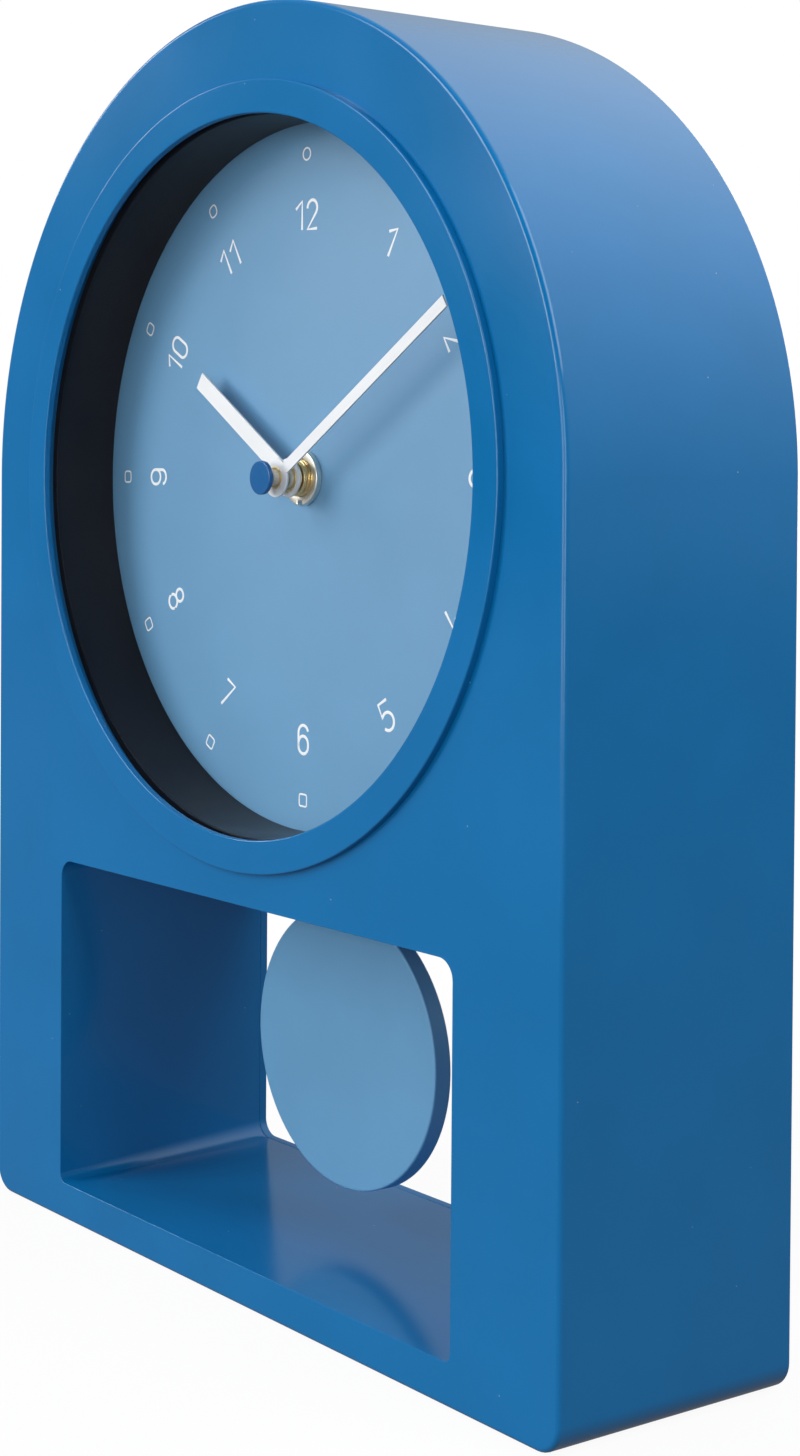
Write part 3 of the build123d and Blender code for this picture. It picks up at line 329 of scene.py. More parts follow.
def turned(section, centre=DIAL_CENTRE, steps=128, form=None):
    """Piece turned on a lathe, its axis front to back, from a closed section of (radius, depth, ease)."""
    form = form or bmesh.new()
    rings = []
    for radius, y in eased(section):
        around = ring(centre, radius, steps) if radius > 1e-6 else [centre]
        rings.append([form.verts.new((x * MM, y * MM, z * MM)) for x, z in around])
    fresh = []
    for near, far in zip(rings, rings[1:] + rings[:1]):
        if len(near) == 1 and len(far) == 1:
            continue
        for step in range(steps):
            turn = (step, (step + 1) % steps)
            corners = [near[0]] if len(near) == 1 else [near[turn[0]], near[turn[1]]]
            corners += [far[0]] if len(far) == 1 else [far[turn[1]], far[turn[0]]]
            fresh.append(form.faces.new(corners))
    bmesh.ops.recalc_face_normals(form, faces=fresh)
    return form


def piece(name, form, finish, body, slot, *nodes):
    """Object of a finished form, which rides on its body in place of the nodes that it stands for."""
    mesh = form
    if isinstance(form, bmesh.types.BMesh):
        mesh = bpy.data.meshes.new(name)
        form.to_mesh(mesh)
        form.free()
    mesh.materials.clear()
    mesh.materials.append(finish)
    mesh.shade_smooth()
    mesh.set_sharp_from_angle(angle=radians(SHARP_TURN))
    made = bpy.data.objects.new(name, mesh)
    bpy.context.scene.collection.objects.link(made)
    flat_faces = made.modifiers.new("flat_faces", "WEIGHTED_NORMAL")
    flat_faces.keep_sharp = True
    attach(made, body)
    if nodes:
        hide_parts(*nodes)


def finish_of(name):
    """New material: its tree, its shader and the object's own coordinates."""
    material = bpy.data.materials.new(name)
    material.use_nodes = True
    tree = material.node_tree
    place = add_node(tree, "ShaderNodeTexCoord").outputs["Object"]
    return material, tree, tree.nodes["Principled BSDF"], place


def shades(tree, share, *stops):
    """Colour that runs through (position, colour) stops."""
    ramp = add_node(tree, "ShaderNodeValToRGB", {"Fac": share})
    band = ramp.color_ramp
    while len(band.elements) < len(stops):
        band.elements.new(0.5)
    for element, (position, colour) in zip(band.elements, stops):
        element.position = position
        element.color = (*colour, 1.0)
    return ramp.outputs["Color"]


def levels(tree, share, low, high):
    """Number that runs from low to high with a share."""
    ranged = add_node(tree, "ShaderNodeMapRange", {"Value": share, "To Min": low, "To Max": high})
    return ranged.outputs["Result"]


def noise(tree, place, scale, detail):
    """Cloudy pattern, as a share from 0 to 1."""
    pattern = add_node(tree, "ShaderNodeTexNoise", {"Vector": place, "Scale": scale, "Detail": detail})
    return pattern.outputs["Fac"]


def times(colour, factor):
    """Darker or lighter tone of a colour."""
    return tuple(channel * factor for channel in colour)


def mottled(tree, share, colour, dark, light):
    """Colour that runs from a darker to a lighter tone of itself."""
    return shades(tree, share, (0.3, times(colour, dark)), (0.7, times(colour, light)))


def raised(tree, shader, height, distance):
    """Feed the shader a fine relief."""
    bump = add_node(tree, "ShaderNodeBump", {"Height": height, "Strength": 1.0, "Distance": distance})
    tree.links.new(bump.outputs["Normal"], shader.inputs["Normal"])


def painted(name, colour, roughness, specular, peel=6e-6, coat=0.0):
    """Sprayed paint: a faint cloud in its colour, orange peel, and now and then a speck of dust."""
    material, tree, shader, place = finish_of(name)
    cloud = noise(tree, place, scale=30.0, detail=5.0)
    speck = add_node(tree, "ShaderNodeTexVoronoi", {"Vector": place, "Scale": 130.0}).outputs["Distance"]
    dusty = add_node(tree, "ShaderNodeMix", {
        0: math_node(tree, "LESS_THAN", speck, DUST_SPECK),
        6: mottled(tree, cloud, colour, 1 - PAINT_CLOUD, 1 + PAINT_CLOUD),
        7: (*[DUST_KEEPS * channel + DUST_ADDS for channel in colour], 1.0),
    }, data_type="RGBA")
    tree.links.new(dusty.outputs[2], shader.inputs["Base Color"])
    gloss = levels(tree, cloud, roughness - PAINT_GLOSS_VARIES, roughness + PAINT_GLOSS_VARIES)
    tree.links.new(gloss, shader.inputs["Roughness"])
    shader.inputs["Specular IOR Level"].default_value = specular
    shader.inputs["Coat Weight"].default_value = coat
    shader.inputs["Coat Roughness"].default_value = COAT_ROUGHNESS
    raised(tree, shader, noise(tree, place, scale=620.0, detail=2.0), peel)
    return material


case_paint = painted("case_blue", CASE_BLUE, roughness=0.16, specular=0.40)

case_outline = (
    arc((CASE_HALF_WIDTH - FOOT_CORNER, FOOT_CORNER), FOOT_CORNER, -90, 0, 10)
    + arc(DIAL_CENTRE, CASE_HALF_WIDTH, 0, 180, 160)
    + arc((FOOT_CORNER - CASE_HALF_WIDTH, FOOT_CORNER), FOOT_CORNER, 180, 270, 10)
)


def window_outline(y):
    """Opening of the tunnel at one depth: its floor rises and its sides draw in towards the back."""
    share = (y - FRONT_Y) / (REAR_Y - FRONT_Y)
    side = WINDOW_HALF_WIDTH - share * STILE_DRAFT
    low = FLOOR_CORNER + share * (WINDOW_CORNER - FLOOR_CORNER)
    outline = rounded_box(-side, WINDOW_FLOOR + share * FLOOR_RISE, side, WINDOW_TOP, WINDOW_CORNER, low, 10)
    ceiling = len(outline) // 2
    outline[ceiling:ceiling] = [(ROD_SLOT_HALF[0], WINDOW_TOP), (-ROD_SLOT_HALF[0], WINDOW_TOP)]
    return hole(outline)


slot_front = SWING_Y - ROD_SLOT_HALF[1]
slot_rear = SWING_Y + ROD_SLOT_HALF[1]

case_form = moulded(
    (case_outline, rolled(FRONT_Y, FRONT_ROLL, 1) + rolled(REAR_Y, REAR_BREAK, -1)[::-1] + [
        (CASE_WALL - REAR_BREAK, REAR_Y), (CASE_WALL, REAR_Y - REAR_BREAK), (CASE_WALL, PANEL_REAR_Y),
    ]),
    (window_outline, rolled(FRONT_Y, WINDOW_ROLL, 1) + [
        (0, slot_front), (0, slot_rear), (0, COVER_FRONT_Y - SEAM_BREAK), (SEAM_BREAK, COVER_FRONT_Y),
        (TUNNEL_WALL, COVER_FRONT_Y), (TUNNEL_WALL, slot_rear), (TUNNEL_WALL, slot_front),
        (TUNNEL_WALL, PANEL_REAR_Y),
    ]),
    (hole(ring(DIAL_CENTRE, DIAL_OPENING, 160)), [
        (0, FRONT_Y), (0, DIAL_FACE_Y), (COLLAR_WALL, DIAL_FACE_Y), (COLLAR_WALL, PANEL_REAR_Y),
    ]),
)
slot_middle = Vector((0.0, SWING_Y, WINDOW_TOP + TUNNEL_WALL / 2)) * MM
slot_mouths = [
    face for face in case_form.faces if (face.calc_center_median() - slot_middle).length < TUNNEL_WALL * MM
]
slot_edges = [edge for face in slot_mouths for edge in face.edges]
bmesh.ops.delete(case_form, geom=slot_mouths, context="FACES_ONLY")
bmesh.ops.bridge_loops(case_form, edges=slot_edges)
bmesh.ops.recalc_face_normals(case_form, faces=case_form.faces)


def post(place, radius, end_y):
    """Hollow post that stands on the back of the front panel and takes a screw."""
    turned([
        (POST_HOLE, PANEL_REAR_Y, 0), (radius, PANEL_REAR_Y, 0),
        (radius, end_y, POST_EDGE), (POST_HOLE, end_y, POST_EDGE),
    ], place, 32, case_form)


for place in COVER_POSTS:
    post(place, POST_RADIUS, COVER_FRONT_Y)
ear_places = [arc(DIAL_CENTRE, EAR_RADIUS, turn, turn, 1)[0] for turn in EAR_TURNS]
for place in ear_places:
    post(place, EAR_BOSS, DIAL_FACE_Y)
piece("case", case_form, case_paint, "case", "case_blue", "case_shell")


# The back cover: a flat blue moulding that drops into the open back and leaves the movement in reach.
# Same paint as the case, with a broken edge all round; six countersunk screws pull it on to the posts.
COVER_INSET = 2.9
COVER_EDGE = 0.15
ACCESS_BOX = (-38.0, 96.0, 38.0, 214.0)
ACCESS_CORNER = 8.0
COUNTERSINK = 1.45
COVER_TONE = 0.94
cover_paint = painted("cover_blue", times(CASE_BLUE, COVER_TONE), roughness=0.42, specular=0.5, peel=9e-6)
plate_edges = rolled(COVER_FRONT_Y, COVER_EDGE, 1, 3) + rolled(COVER_REAR_Y, COVER_EDGE, -1, 3)[::-1]
screw_hole = [(0, COVER_FRONT_Y), (0, COVER_REAR_Y - COUNTERSINK), (COUNTERSINK, COVER_REAR_Y)]
piece(
    "cover", moulded(
        (inset(case_outline, COVER_INSET), plate_edges),
        (window_outline, plate_edges),
        (hole(rounded_box(*ACCESS_BOX, ACCESS_CORNER)), plate_edges),
        *[(hole(ring(place, POST_HOLE, 32)), screw_hole) for place in COVER_POSTS],
    ), cover_paint, "case", "cover_blue", "back_cover",
)


# Screws: six countersunk ones through the cover and four pan heads that hold the dial by its ears.
# Plain steel, cold headed with a cross recess, driven from the back into the posts and bosses.
SCREW_SHANK = 1.45
SCREW_HEAD = 2.9
SCREW_LENGTH = 11.0
PAN_HEIGHT = 1.8
PAN_FACE = 2.5
RECESS_WIDTH = 0.8
RECESS_SPAN = 3.2
RECESS_DEPTH = 0.9
DIAL_REAR_Y = -9.5
STEEL_GREY = (0.55, 0.55, 0.54)


def node_tree(name, seed, material, *sizes):
    """Empty tree that takes a seed, sizes and a material by their names, and gives geometry."""
    tree = bpy.data.node_groups.new(name, "GeometryNodeTree")
    for label, kind in [(seed, "Geometry"), *[(size, "Float") for size in sizes], (material, "Material")]:
        tree.interface.new_socket(label, in_out="INPUT", socket_type="NodeSocket" + kind)
    tree.interface.new_socket("Geometry", in_out="OUTPUT", socket_type="NodeSocketGeometry")
    return tree, tree.nodes.new("NodeGroupInput").outputs


def end_tree(tree, geometry, material):
    """Make the instances real, give them their finish and close the tree."""
    real = add_node(tree, "GeometryNodeRealizeInstances", {"Geometry": geometry})
    dressed = add_node(tree, "GeometryNodeSetMaterial", {"Geometry": real.outputs[0], "Material": material})
    add_node(tree, "NodeGroupOutput", {0: dressed.outputs[0]})


def vector_of(tree, **parts):
    """Vector from the numbers of its axes."""
    numbers = {axis.upper(): number for axis, number in parts.items()}
    return add_node(tree, "ShaderNodeCombineXYZ", numbers).outputs[0]


def grown(name, seed, tree, **sizes):
    """Plain mesh of what a tree grows on a seed mesh; sizes are named as the tree's inputs are."""
    sprout = bpy.data.objects.new(name, seed)
    bpy.context.scene.collection.objects.link(sprout)
    rule = sprout.modifiers.new(name, "NODES")
    rule.node_group = tree
    for item in tree.interface.items_tree:
        if item.in_out == "INPUT" and item.name in sizes:
            rule[item.identifier] = sizes[item.name]
    evaluated = sprout.evaluated_get(bpy.context.evaluated_depsgraph_get())
    mesh = bpy.data.meshes.new_from_object(evaluated)
    mesh.name = name
    bpy.data.objects.remove(sprout)
    return mesh


def seed_of(name, points, edges=()):
    """Mesh of bare points and edges."""
    seed = bpy.data.meshes.new(name)
    seed.from_pydata(points, edges, [])
    return seed


screw_tree, screw_in = node_tree(
    "recessed_screw", "Places", "Steel", "Seat", "Face", "Height", "Rise", "Shank", "Length",
    "RecessWidth", "RecessSpan", "RecessDepth",
)
screw_under = math_node(screw_tree, "SUBTRACT", screw_in["Rise"], screw_in["Height"])
screw_cone = add_node(screw_tree, "GeometryNodeMeshCone", {
    "Vertices": 32, "Radius Top": screw_in["Face"], "Radius Bottom": screw_in["Seat"],
    "Depth": screw_in["Height"],
})
screw_head = add_node(screw_tree, "GeometryNodeTransform", {
    "Geometry": screw_cone.outputs["Mesh"], "Translation": vector_of(screw_tree, z=screw_under),
})
screw_cut = add_node(
    screw_tree, "GeometryNodeMeshBoolean", {"Mesh 1": screw_head.outputs[0]}, operation="DIFFERENCE"
)
for long_way in ("x", "y"):
    arm_size = vector_of(screw_tree, **{
        "x": screw_in["RecessSpan"] if long_way == "x" else screw_in["RecessWidth"],
        "y": screw_in["RecessSpan"] if long_way == "y" else screw_in["RecessWidth"],
        "z": math_node(screw_tree, "MULTIPLY", screw_in["RecessDepth"], 2.0),
    })
    arm = add_node(screw_tree, "GeometryNodeMeshCube", {"Size": arm_size})
    arm_up = add_node(screw_tree, "GeometryNodeTransform", {
        "Geometry": arm.outputs["Mesh"], "Translation": vector_of(screw_tree, z=screw_in["Rise"]),
    })
    screw_tree.links.new(arm_up.outputs[0], screw_cut.inputs["Mesh 2"])
shank_length = math_node(screw_tree, "ADD", screw_in["Length"], screw_under)
shank_middle = math_node(
    screw_tree, "MULTIPLY", math_node(screw_tree, "SUBTRACT", screw_under, screw_in["Length"]), 0.5
)
screw_shank = add_node(screw_tree, "GeometryNodeMeshCylinder", {
    "Vertices": 20, "Radius": screw_in["Shank"], "Depth": shank_length,
})
screw_stem = add_node(screw_tree, "GeometryNodeTransform", {
    "Geometry": screw_shank.outputs["Mesh"], "Translation": vector_of(screw_tree, z=shank_middle),
})
screw_whole = add_node(screw_tree, "GeometryNodeJoinGeometry")
screw_tree.links.new(screw_cut.outputs["Mesh"], screw_whole.inputs[0])
screw_tree.links.new(screw_stem.outputs[0], screw_whole.inputs[0])
screw_facing_back = add_node(screw_tree, "GeometryNodeTransform", {
    "Geometry": screw_whole.outputs[0], "Rotation": (-pi / 2, 0.0, 0.0),
})
screw_set = add_node(screw_tree, "GeometryNodeInstanceOnPoints", {
    "Points": screw_in["Places"], "Instance": screw_facing_back.outputs[0],
})
end_tree(screw_tree, screw_set.outputs[0], screw_in["Steel"])


def bare_metal(name, colour, roughness, scratch=3e-6):
    """Metal straight from the machine: fine turning rings, and smears that change its gloss."""
    material, tree, shader, place = finish_of(name)
    smear = noise(tree, place, scale=260.0, detail=4.0)
    tree.links.new(mottled(tree, smear, colour, dark=0.88, light=1.06), shader.inputs["Base Color"])
    tree.links.new(levels(tree, smear, roughness * 0.7, roughness * 1.4), shader.inputs["Roughness"])
    shader.inputs["Metallic"].default_value = 1.0
    on_axis = add_node(tree, "ShaderNodeMapping", {
        "Vector": place, "Location": (-DIAL_CENTRE[0] * MM, 0.0, -DIAL_CENTRE[1] * MM),
    })
    rings = add_node(tree, "ShaderNodeTexWave", {
        "Vector": on_axis.outputs[0], "Scale": 900.0, "Distortion": 1.5, "Detail": 2.0,
    }, wave_type="RINGS", rings_direction="Y")
    raised(tree, shader, rings.outputs["Fac"], scratch)
    return material


plain_steel = bare_metal("plain_steel", STEEL_GREY, roughness=0.3)


def screws(name, places, seat_y, seat, face, height, rise, node):
    """Screws of one kind; a head rises from its seat, or sinks below it where the rise is nothing."""
    mesh = grown(
        name, seed_of(name + "_places", [(x * MM, seat_y * MM, z * MM) for x, z in places]), screw_tree,
        Seat=seat * MM, Face=face * MM, Height=height * MM, Rise=rise * MM, Shank=SCREW_SHANK * MM,
        Length=SCREW_LENGTH * MM, RecessWidth=RECESS_WIDTH * MM, RecessSpan=RECESS_SPAN * MM,
        RecessDepth=RECESS_DEPTH * MM, Steel=plain_steel,
    )
    piece(name, mesh, plain_steel, "case", "steel", node)


screws(
    "cover_screw_set", COVER_POSTS, COVER_REAR_Y, SCREW_SHANK, SCREW_HEAD, COUNTERSINK, 0.0, "cover_screws"
)
screws(
    "dial_screw_set", ear_places, DIAL_REAR_Y, SCREW_HEAD, PAN_FACE, PAN_HEIGHT, PAN_HEIGHT, "dial_screws"
)


# The dial: a thin plate painted a matt blue grey, with ears behind the collar where its screws go through.
# The paint is flat and a little chalky, so it shows a very fine grain and only a broad, soft sheen.
DIAL_BLUE = (0.126, 0.326, 0.548)
PRINT_ROUGHNESS = (0.44, 0.50)
PRINT_SPECULAR = 0.7
PRINT_GRIT = 0.4


def matt_print(name, colour, grain=3e-6):
    """Matt printed coat: a fine even grain and a broad, soft sheen."""
    material, tree, shader, place = finish_of(name)
    cloud = noise(tree, place, scale=45.0, detail=6.0)
    grit = noise(tree, place, scale=2600.0, detail=2.0)
    tone = chosen(tree, PRINT_GRIT, cloud, grit)
    tree.links.new(mottled(tree, tone, colour, dark=0.95, light=1.05), shader.inputs["Base Color"])
    tree.links.new(levels(tree, cloud, *PRINT_ROUGHNESS), shader.inputs["Roughness"])
    shader.inputs["Specular IOR Level"].default_value = PRINT_SPECULAR
    raised(tree, shader, grit, grain)
    return material


def dress(finish, *nodes):
    """Give CAD pieces that keep their shape their finish."""
    for name in nodes:
        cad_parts[name].data.materials.clear()
        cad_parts[name].data.materials.append(finish)


dress(matt_print("dial_blue", DIAL_BLUE), "dial")


# The print on the dial: twelve numerals in a light rounded line and an outlined mark outside each.
# White ink, a few hundredths of a millimetre thick. The marks go from a circle at twelve to a square at six.
DIGIT_WIDTH = 3.4
DIGIT_HEIGHT = 6.2
DIGIT_GAP = 1.9
ONE_WIDTH = 2.2
NUMERAL_RADIUS = 56.7
NUMERAL_LINE = 0.68
MARK_RADIUS = 69.9
MARK_HALF = 1.3
MARK_LINE = 0.4
MARK_SQUARES_BY = 0.75
INK_HEIGHT = 0.04
INK_WHITE = (0.92, 0.935, 0.95)
ROUND = DIGIT_WIDTH / 2
SIX_BOWL = 3.85
EIGHT_WAIST = 3.3


def bowl(bottom, top, half=ROUND):
    """Closed loop of a digit: two half rounds and straight sides."""
    loop = arc((ROUND, top - half), half, 0, 180, 14) + arc((ROUND, bottom + half), half, 180, 360, 14)
    return loop + loop[:1]


six = [
    bowl(0.0, SIX_BOWL),
    arc((ROUND, DIGIT_HEIGHT - ROUND), ROUND, 15, 180, 16) + [(0.0, ROUND)],
]
DIGITS = {
    "0": [bowl(0.0, DIGIT_HEIGHT)],
    "1": [[(0.0, DIGIT_HEIGHT - 1.6), (ONE_WIDTH, DIGIT_HEIGHT), (ONE_WIDTH, 0.0)]],
    "2": [arc((ROUND, DIGIT_HEIGHT - ROUND), ROUND, 180, -41.4, 20) + [(0.0, 0.0), (DIGIT_WIDTH, 0.0)]],
    "3": [arc((1.6, DIGIT_HEIGHT - 1.5), 1.5, 160, -90, 16) + arc((1.6, 1.6), 1.6, 90, -160, 18)[1:]],
    "4": [[(1.9, DIGIT_HEIGHT), (0.0, 1.5), (DIGIT_WIDTH, 1.5)], [(2.5, 3.0), (2.5, 0.0)]],
    "5": [[(3.2, DIGIT_HEIGHT), (0.2, DIGIT_HEIGHT)] + arc((1.55, 1.9), 1.9, 138, -150, 20)],
    "6": six,
    "7": [[(0.0, DIGIT_HEIGHT), (DIGIT_WIDTH, DIGIT_HEIGHT), (0.8, 0.0)]],
    "8": [bowl(0.0, EIGHT_WAIST), bowl(EIGHT_WAIST, DIGIT_HEIGHT, (DIGIT_HEIGHT - EIGHT_WAIST) / 2)],
    "9": [[(DIGIT_WIDTH - x, DIGIT_HEIGHT - y) for x, y in stroke] for stroke in six],
}


def numeral(hour):
    """Strokes of one numeral, centred on its own middle."""
    strokes = []
    along = 0.0
    for digit in str(hour):
        width = ONE_WIDTH if digit == "1" else DIGIT_WIDTH
        strokes += [[(x + along, y - DIGIT_HEIGHT / 2) for x, y in stroke] for stroke in DIGITS[digit]]
        along += width + DIGIT_GAP
    middle = (along - DIGIT_GAP) / 2
    return [[(x - middle, y) for x, y in stroke] for stroke in strokes]


def hour_mark(hour, steps=48):
    """Outlined mark, rounder near twelve and squarer near six."""
    square = 2.0 + MARK_SQUARES_BY * min(hour % 12, 12 - hour % 12)
    loop = []
    for step in range(steps):
        turn = 2 * pi * step / steps
        reach = MARK_HALF / (abs(cos(turn)) ** square + abs(sin(turn)) ** square) ** (1 / square)
        loop.append((reach * cos(turn), reach * sin(turn)))
    return [loop + loop[:1]]


def on_dial(strokes, hour, radius, upside_down=False):
    """Turn strokes to their hour; lower numerals stand with their feet outwards."""
    turn = Matrix.Rotation(-2 * pi * hour / 12, 2)
    flip = -1 if upside_down else 1
    return [[tuple(turn @ Vector((flip * x, flip * y + radius))) for x, y in stroke] for stroke in strokes]


def ink_path(name, strokes):
    """Seed mesh of the strokes, laid flat at the origin; a closed stroke ends where it starts."""
    points, edges = [], []
    for stroke in strokes:
        first = len(points)
        closed = (Vector(stroke[0]) - Vector(stroke[-1])).length < 1e-6
        run = stroke[:-1] if closed else stroke
        points += [(x * MM, y * MM, 0.0) for x, y in run]
        edges += [(first + step, first + step + 1) for step in range(len(run) - 1)]
        if closed:
            edges.append((first + len(run) - 1, first))
    return seed_of(name, points, edges)


ink_tree, ink_in = node_tree("printed_line", "Path", "Ink", "LineWidth", "InkHeight")
half_line = math_node(ink_tree, "MULTIPLY", ink_in["LineWidth"], 0.5)
ink_round = add_node(ink_tree, "GeometryNodeCurvePrimitiveCircle", {"Resolution": 8, "Radius": half_line})
ink_line = add_node(ink_tree, "GeometryNodeCurveToMesh", {
    "Curve": add_node(ink_tree, "GeometryNodeMeshToCurve", {"Mesh": ink_in["Path"]}).outputs[0],
    "Profile Curve": ink_round.outputs[0], "Fill Caps": True,
})
ink_flatness = math_node(ink_tree, "DIVIDE", ink_in["InkHeight"], half_line)
ink_flat = add_node(ink_tree, "GeometryNodeTransform", {
    "Geometry": ink_line.outputs[0], "Scale": vector_of(ink_tree, x=1.0, y=1.0, z=ink_flatness),
})
end_tree(ink_tree, ink_flat.outputs[0], ink_in["Ink"])

white_ink = matt_print("white_ink", INK_WHITE, grain=1e-6)
dial_middle = (DIAL_CENTRE[0] * MM, DIAL_FACE_Y * MM, DIAL_CENTRE[1] * MM)
dial_upright = Matrix.Translation(dial_middle) @ Matrix.Rotation(pi / 2, 4, "X")


def print_on_dial(name, strokes, line):
    """Strokes in ink, stood up on the face of the dial."""
    mesh = grown(
        name, ink_path(name, strokes), ink_tree,
        LineWidth=line * MM, InkHeight=INK_HEIGHT * MM, Ink=white_ink,
    )
    mesh.transform(dial_upright)
    piece(name, mesh, white_ink, "case", "hand_white")


print_on_dial("numerals", [
    stroke for hour in range(1, 13)
    for stroke in on_dial(numeral(hour), hour, NUMERAL_RADIUS, 4 <= hour <= 8)
], NUMERAL_LINE)
print_on_dial("hour_marks", [
    stroke for hour in range(1, 13) for stroke in on_dial(hour_mark(hour), hour, MARK_RADIUS)
], MARK_LINE)


# The spacer: a deep dark ring between the lens and the dial, which keeps the hands clear of the lens.
# Moulded in near black navy with a smooth, slightly shiny wall.
SPACER_BORE = 76.5
LENS_RADIUS = 78.3
LENS_REAR_Y = -27.5
SPACER_FRONT_EDGE = 0.3
SPACER_REAR_EDGE = 0.35
SPACER_NAVY = (0.0009, 0.0034, 0.0100)


def moulding(name, colour, roughness, specular=0.4, grain=4e-6, grain_scale=1500.0):
    """Plastic as it leaves the mould: even colour, spark eroded grain, softer gloss where it was handled."""
    material, tree, shader, place = finish_of(name)
    cloud = noise(tree, place, scale=70.0, detail=3.0)
    tree.links.new(mottled(tree, cloud, colour, dark=0.9, light=1.1), shader.inputs["Base Color"])
    tree.links.new(levels(tree, cloud, roughness - 0.05, roughness + 0.07), shader.inputs["Roughness"])
    shader.inputs["Specular IOR Level"].default_value = specular
    pits = add_node(tree, "ShaderNodeTexVoronoi", {"Vector": place, "Scale": grain_scale})
    raised(tree, shader, pits.outputs["Distance"], grain)
    return material


piece(
    "spacer", turned([
        (SPACER_BORE, LENS_REAR_Y, SPACER_FRONT_EDGE), (LENS_RADIUS, LENS_REAR_Y, 0),
        (LENS_RADIUS, DIAL_FACE_Y, 0), (SPACER_BORE, DIAL_FACE_Y, SPACER_REAR_EDGE),
    ], steps=192), moulding("spacer_dark", SPACER_NAVY, roughness=0.3, specular=0.12, grain=1e-6),
    "case", "spacer_dark", "spacer_ring",
)


# The lens: a clear flat disc, clamped between the bezel and the spacer.
# Plain polished sheet, so it is seen only by a faint reflection.
LENS_TINT = (0.9, 0.95, 1.0, 1.0)
LENS_ROUGHNESS = (0.02, 0.07)
LENS_SHOWS = (0.002, 0.006)


def clear_sheet(name):
    """Polished clear sheet: nearly all the light goes through, and faint smears change its gloss."""
    material, tree, shader, place = finish_of(name)
    shader.inputs["Base Color"].default_value = LENS_TINT
    shader.inputs["Specular IOR Level"].default_value = 0.5
    smear = noise(tree, place, scale=35.0, detail=5.0)
    tree.links.new(levels(tree, smear, *LENS_ROUGHNESS), shader.inputs["Roughness"])
    tree.links.new(levels(tree, smear, *LENS_SHOWS), shader.inputs["Alpha"])
    return material


dress(clear_sheet("lens_clear"), "lens")


# The bezel: a flat ring that stands a little proud of the case and presses into the dial opening.
# Same moulding and paint as the case, with its outer edge rolled over and its inner edge softened.
BEZEL_RADIUS = 83.6
BEZEL_FACE_Y = -31.0
SPIGOT_RADIUS = 80.05
SPIGOT_BORE = 78.45
SPIGOT_REAR_Y = -21.5
BEZEL_INNER_EDGE = 0.4
BEZEL_OUTER_EDGE = 0.35
BEZEL_FOOT_EDGE = 0.05
BEZEL_SEAT_EDGE = 0.15
SPIGOT_EDGE = 0.2
piece(
    "bezel", turned([
        (SPACER_BORE, BEZEL_FACE_Y, BEZEL_INNER_EDGE), (BEZEL_RADIUS, BEZEL_FACE_Y, BEZEL_OUTER_EDGE),
        (BEZEL_RADIUS, FRONT_Y, BEZEL_FOOT_EDGE), (SPIGOT_RADIUS, FRONT_Y, 0),
        (SPIGOT_RADIUS, SPIGOT_REAR_Y, SPIGOT_EDGE), (SPIGOT_BORE, SPIGOT_REAR_Y, SPIGOT_EDGE),
        (SPIGOT_BORE, FRONT_Y, 0), (SPACER_BORE, FRONT_Y, BEZEL_SEAT_EDGE),
    ], steps=192), case_paint, "case", "case_blue", "bezel_ring",
)


# The movement: a black moulded box behind the dial with its wheels, stepping motor, coil and one cell inside.
# Its shells, plate and setting knob are black plastic, the wheels and arbors natural white.
KNOB_AXIS = (11.276, 180.104)
KNOB_RADIUS = 5.0
KNOB_Y = (7.7, 10.7)
KNOB_SCALLOPS = 10
SCALLOP_RADIUS = 0.9
KNOB_EDGE = 0.5
MOVEMENT_BLACK = (0.012, 0.012, 0.013)
GEAR_WHITE = (0.82, 0.77, 0.66)
RUBBER_BLACK = (0.015, 0.015, 0.015)
BOARD_GREEN = (0.03, 0.16, 0.07)
COPPER_RED = (0.72, 0.32, 0.14)
movement_black = moulding("movement_black", MOVEMENT_BLACK, roughness=0.5, specular=0.4, grain=8e-6)
gear_white = moulding("gear_white", GEAR_WHITE, roughness=0.4, specular=0.45, grain=3e-6)
dress(movement_black, "movement_housing", "movement_cover", "train_plate")
dress(
    gear_white, "minute_arbor", "hour_wheel", "minute_wheel", "third_wheel", "centre_wheel",
    "intermediate_wheel", "rotor", "seconds_wheel", "pendulum_arm",
)
dress(
    plain_steel, "stator", "pivot_pin", "hanger_pin", "pendulum_magnet", "battery_contact_plus",
    "battery_contact_minus", "pendulum_rod",
)
dress(moulding("rubber", RUBBER_BLACK, roughness=0.75, specular=0.25, grain=1e-5), "rubber_washer")
dress(
    moulding("board_green", BOARD_GREEN, roughness=0.35, specular=0.5, grain=2e-6, grain_scale=700.0),
    "circuit_board",
)
dress(bare_metal("copper_wire", COPPER_RED, roughness=0.35, scratch=2e-5), "motor_coil", "pendulum_coil")

scallop_half = degrees(2 * asin(SCALLOP_RADIUS / (2 * KNOB_RADIUS)))
scallop_sweep = 90 + scallop_half / 2
knob_outline = []
for number in range(KNOB_SCALLOPS):
    middle = 360 * number / KNOB_SCALLOPS
    following = 360 * (number + 1) / KNOB_SCALLOPS
    dip = arc(KNOB_AXIS, KNOB_RADIUS, middle, middle, 1)[0]
    knob_outline += arc(dip, SCALLOP_RADIUS, middle - scallop_sweep, middle + scallop_sweep - 360, 8)
    knob_outline += arc(KNOB_AXIS, KNOB_RADIUS, middle + scallop_half, following - scallop_half, 5)[1:-1]
piece(
    "knob", moulded((
        knob_outline, rolled(KNOB_Y[0], KNOB_EDGE / 2, 1, 3) + rolled(KNOB_Y[1], KNOB_EDGE, -1, 4)[::-1],
    )), movement_black, "setting_works", "movement_black", "setting_knob",
)


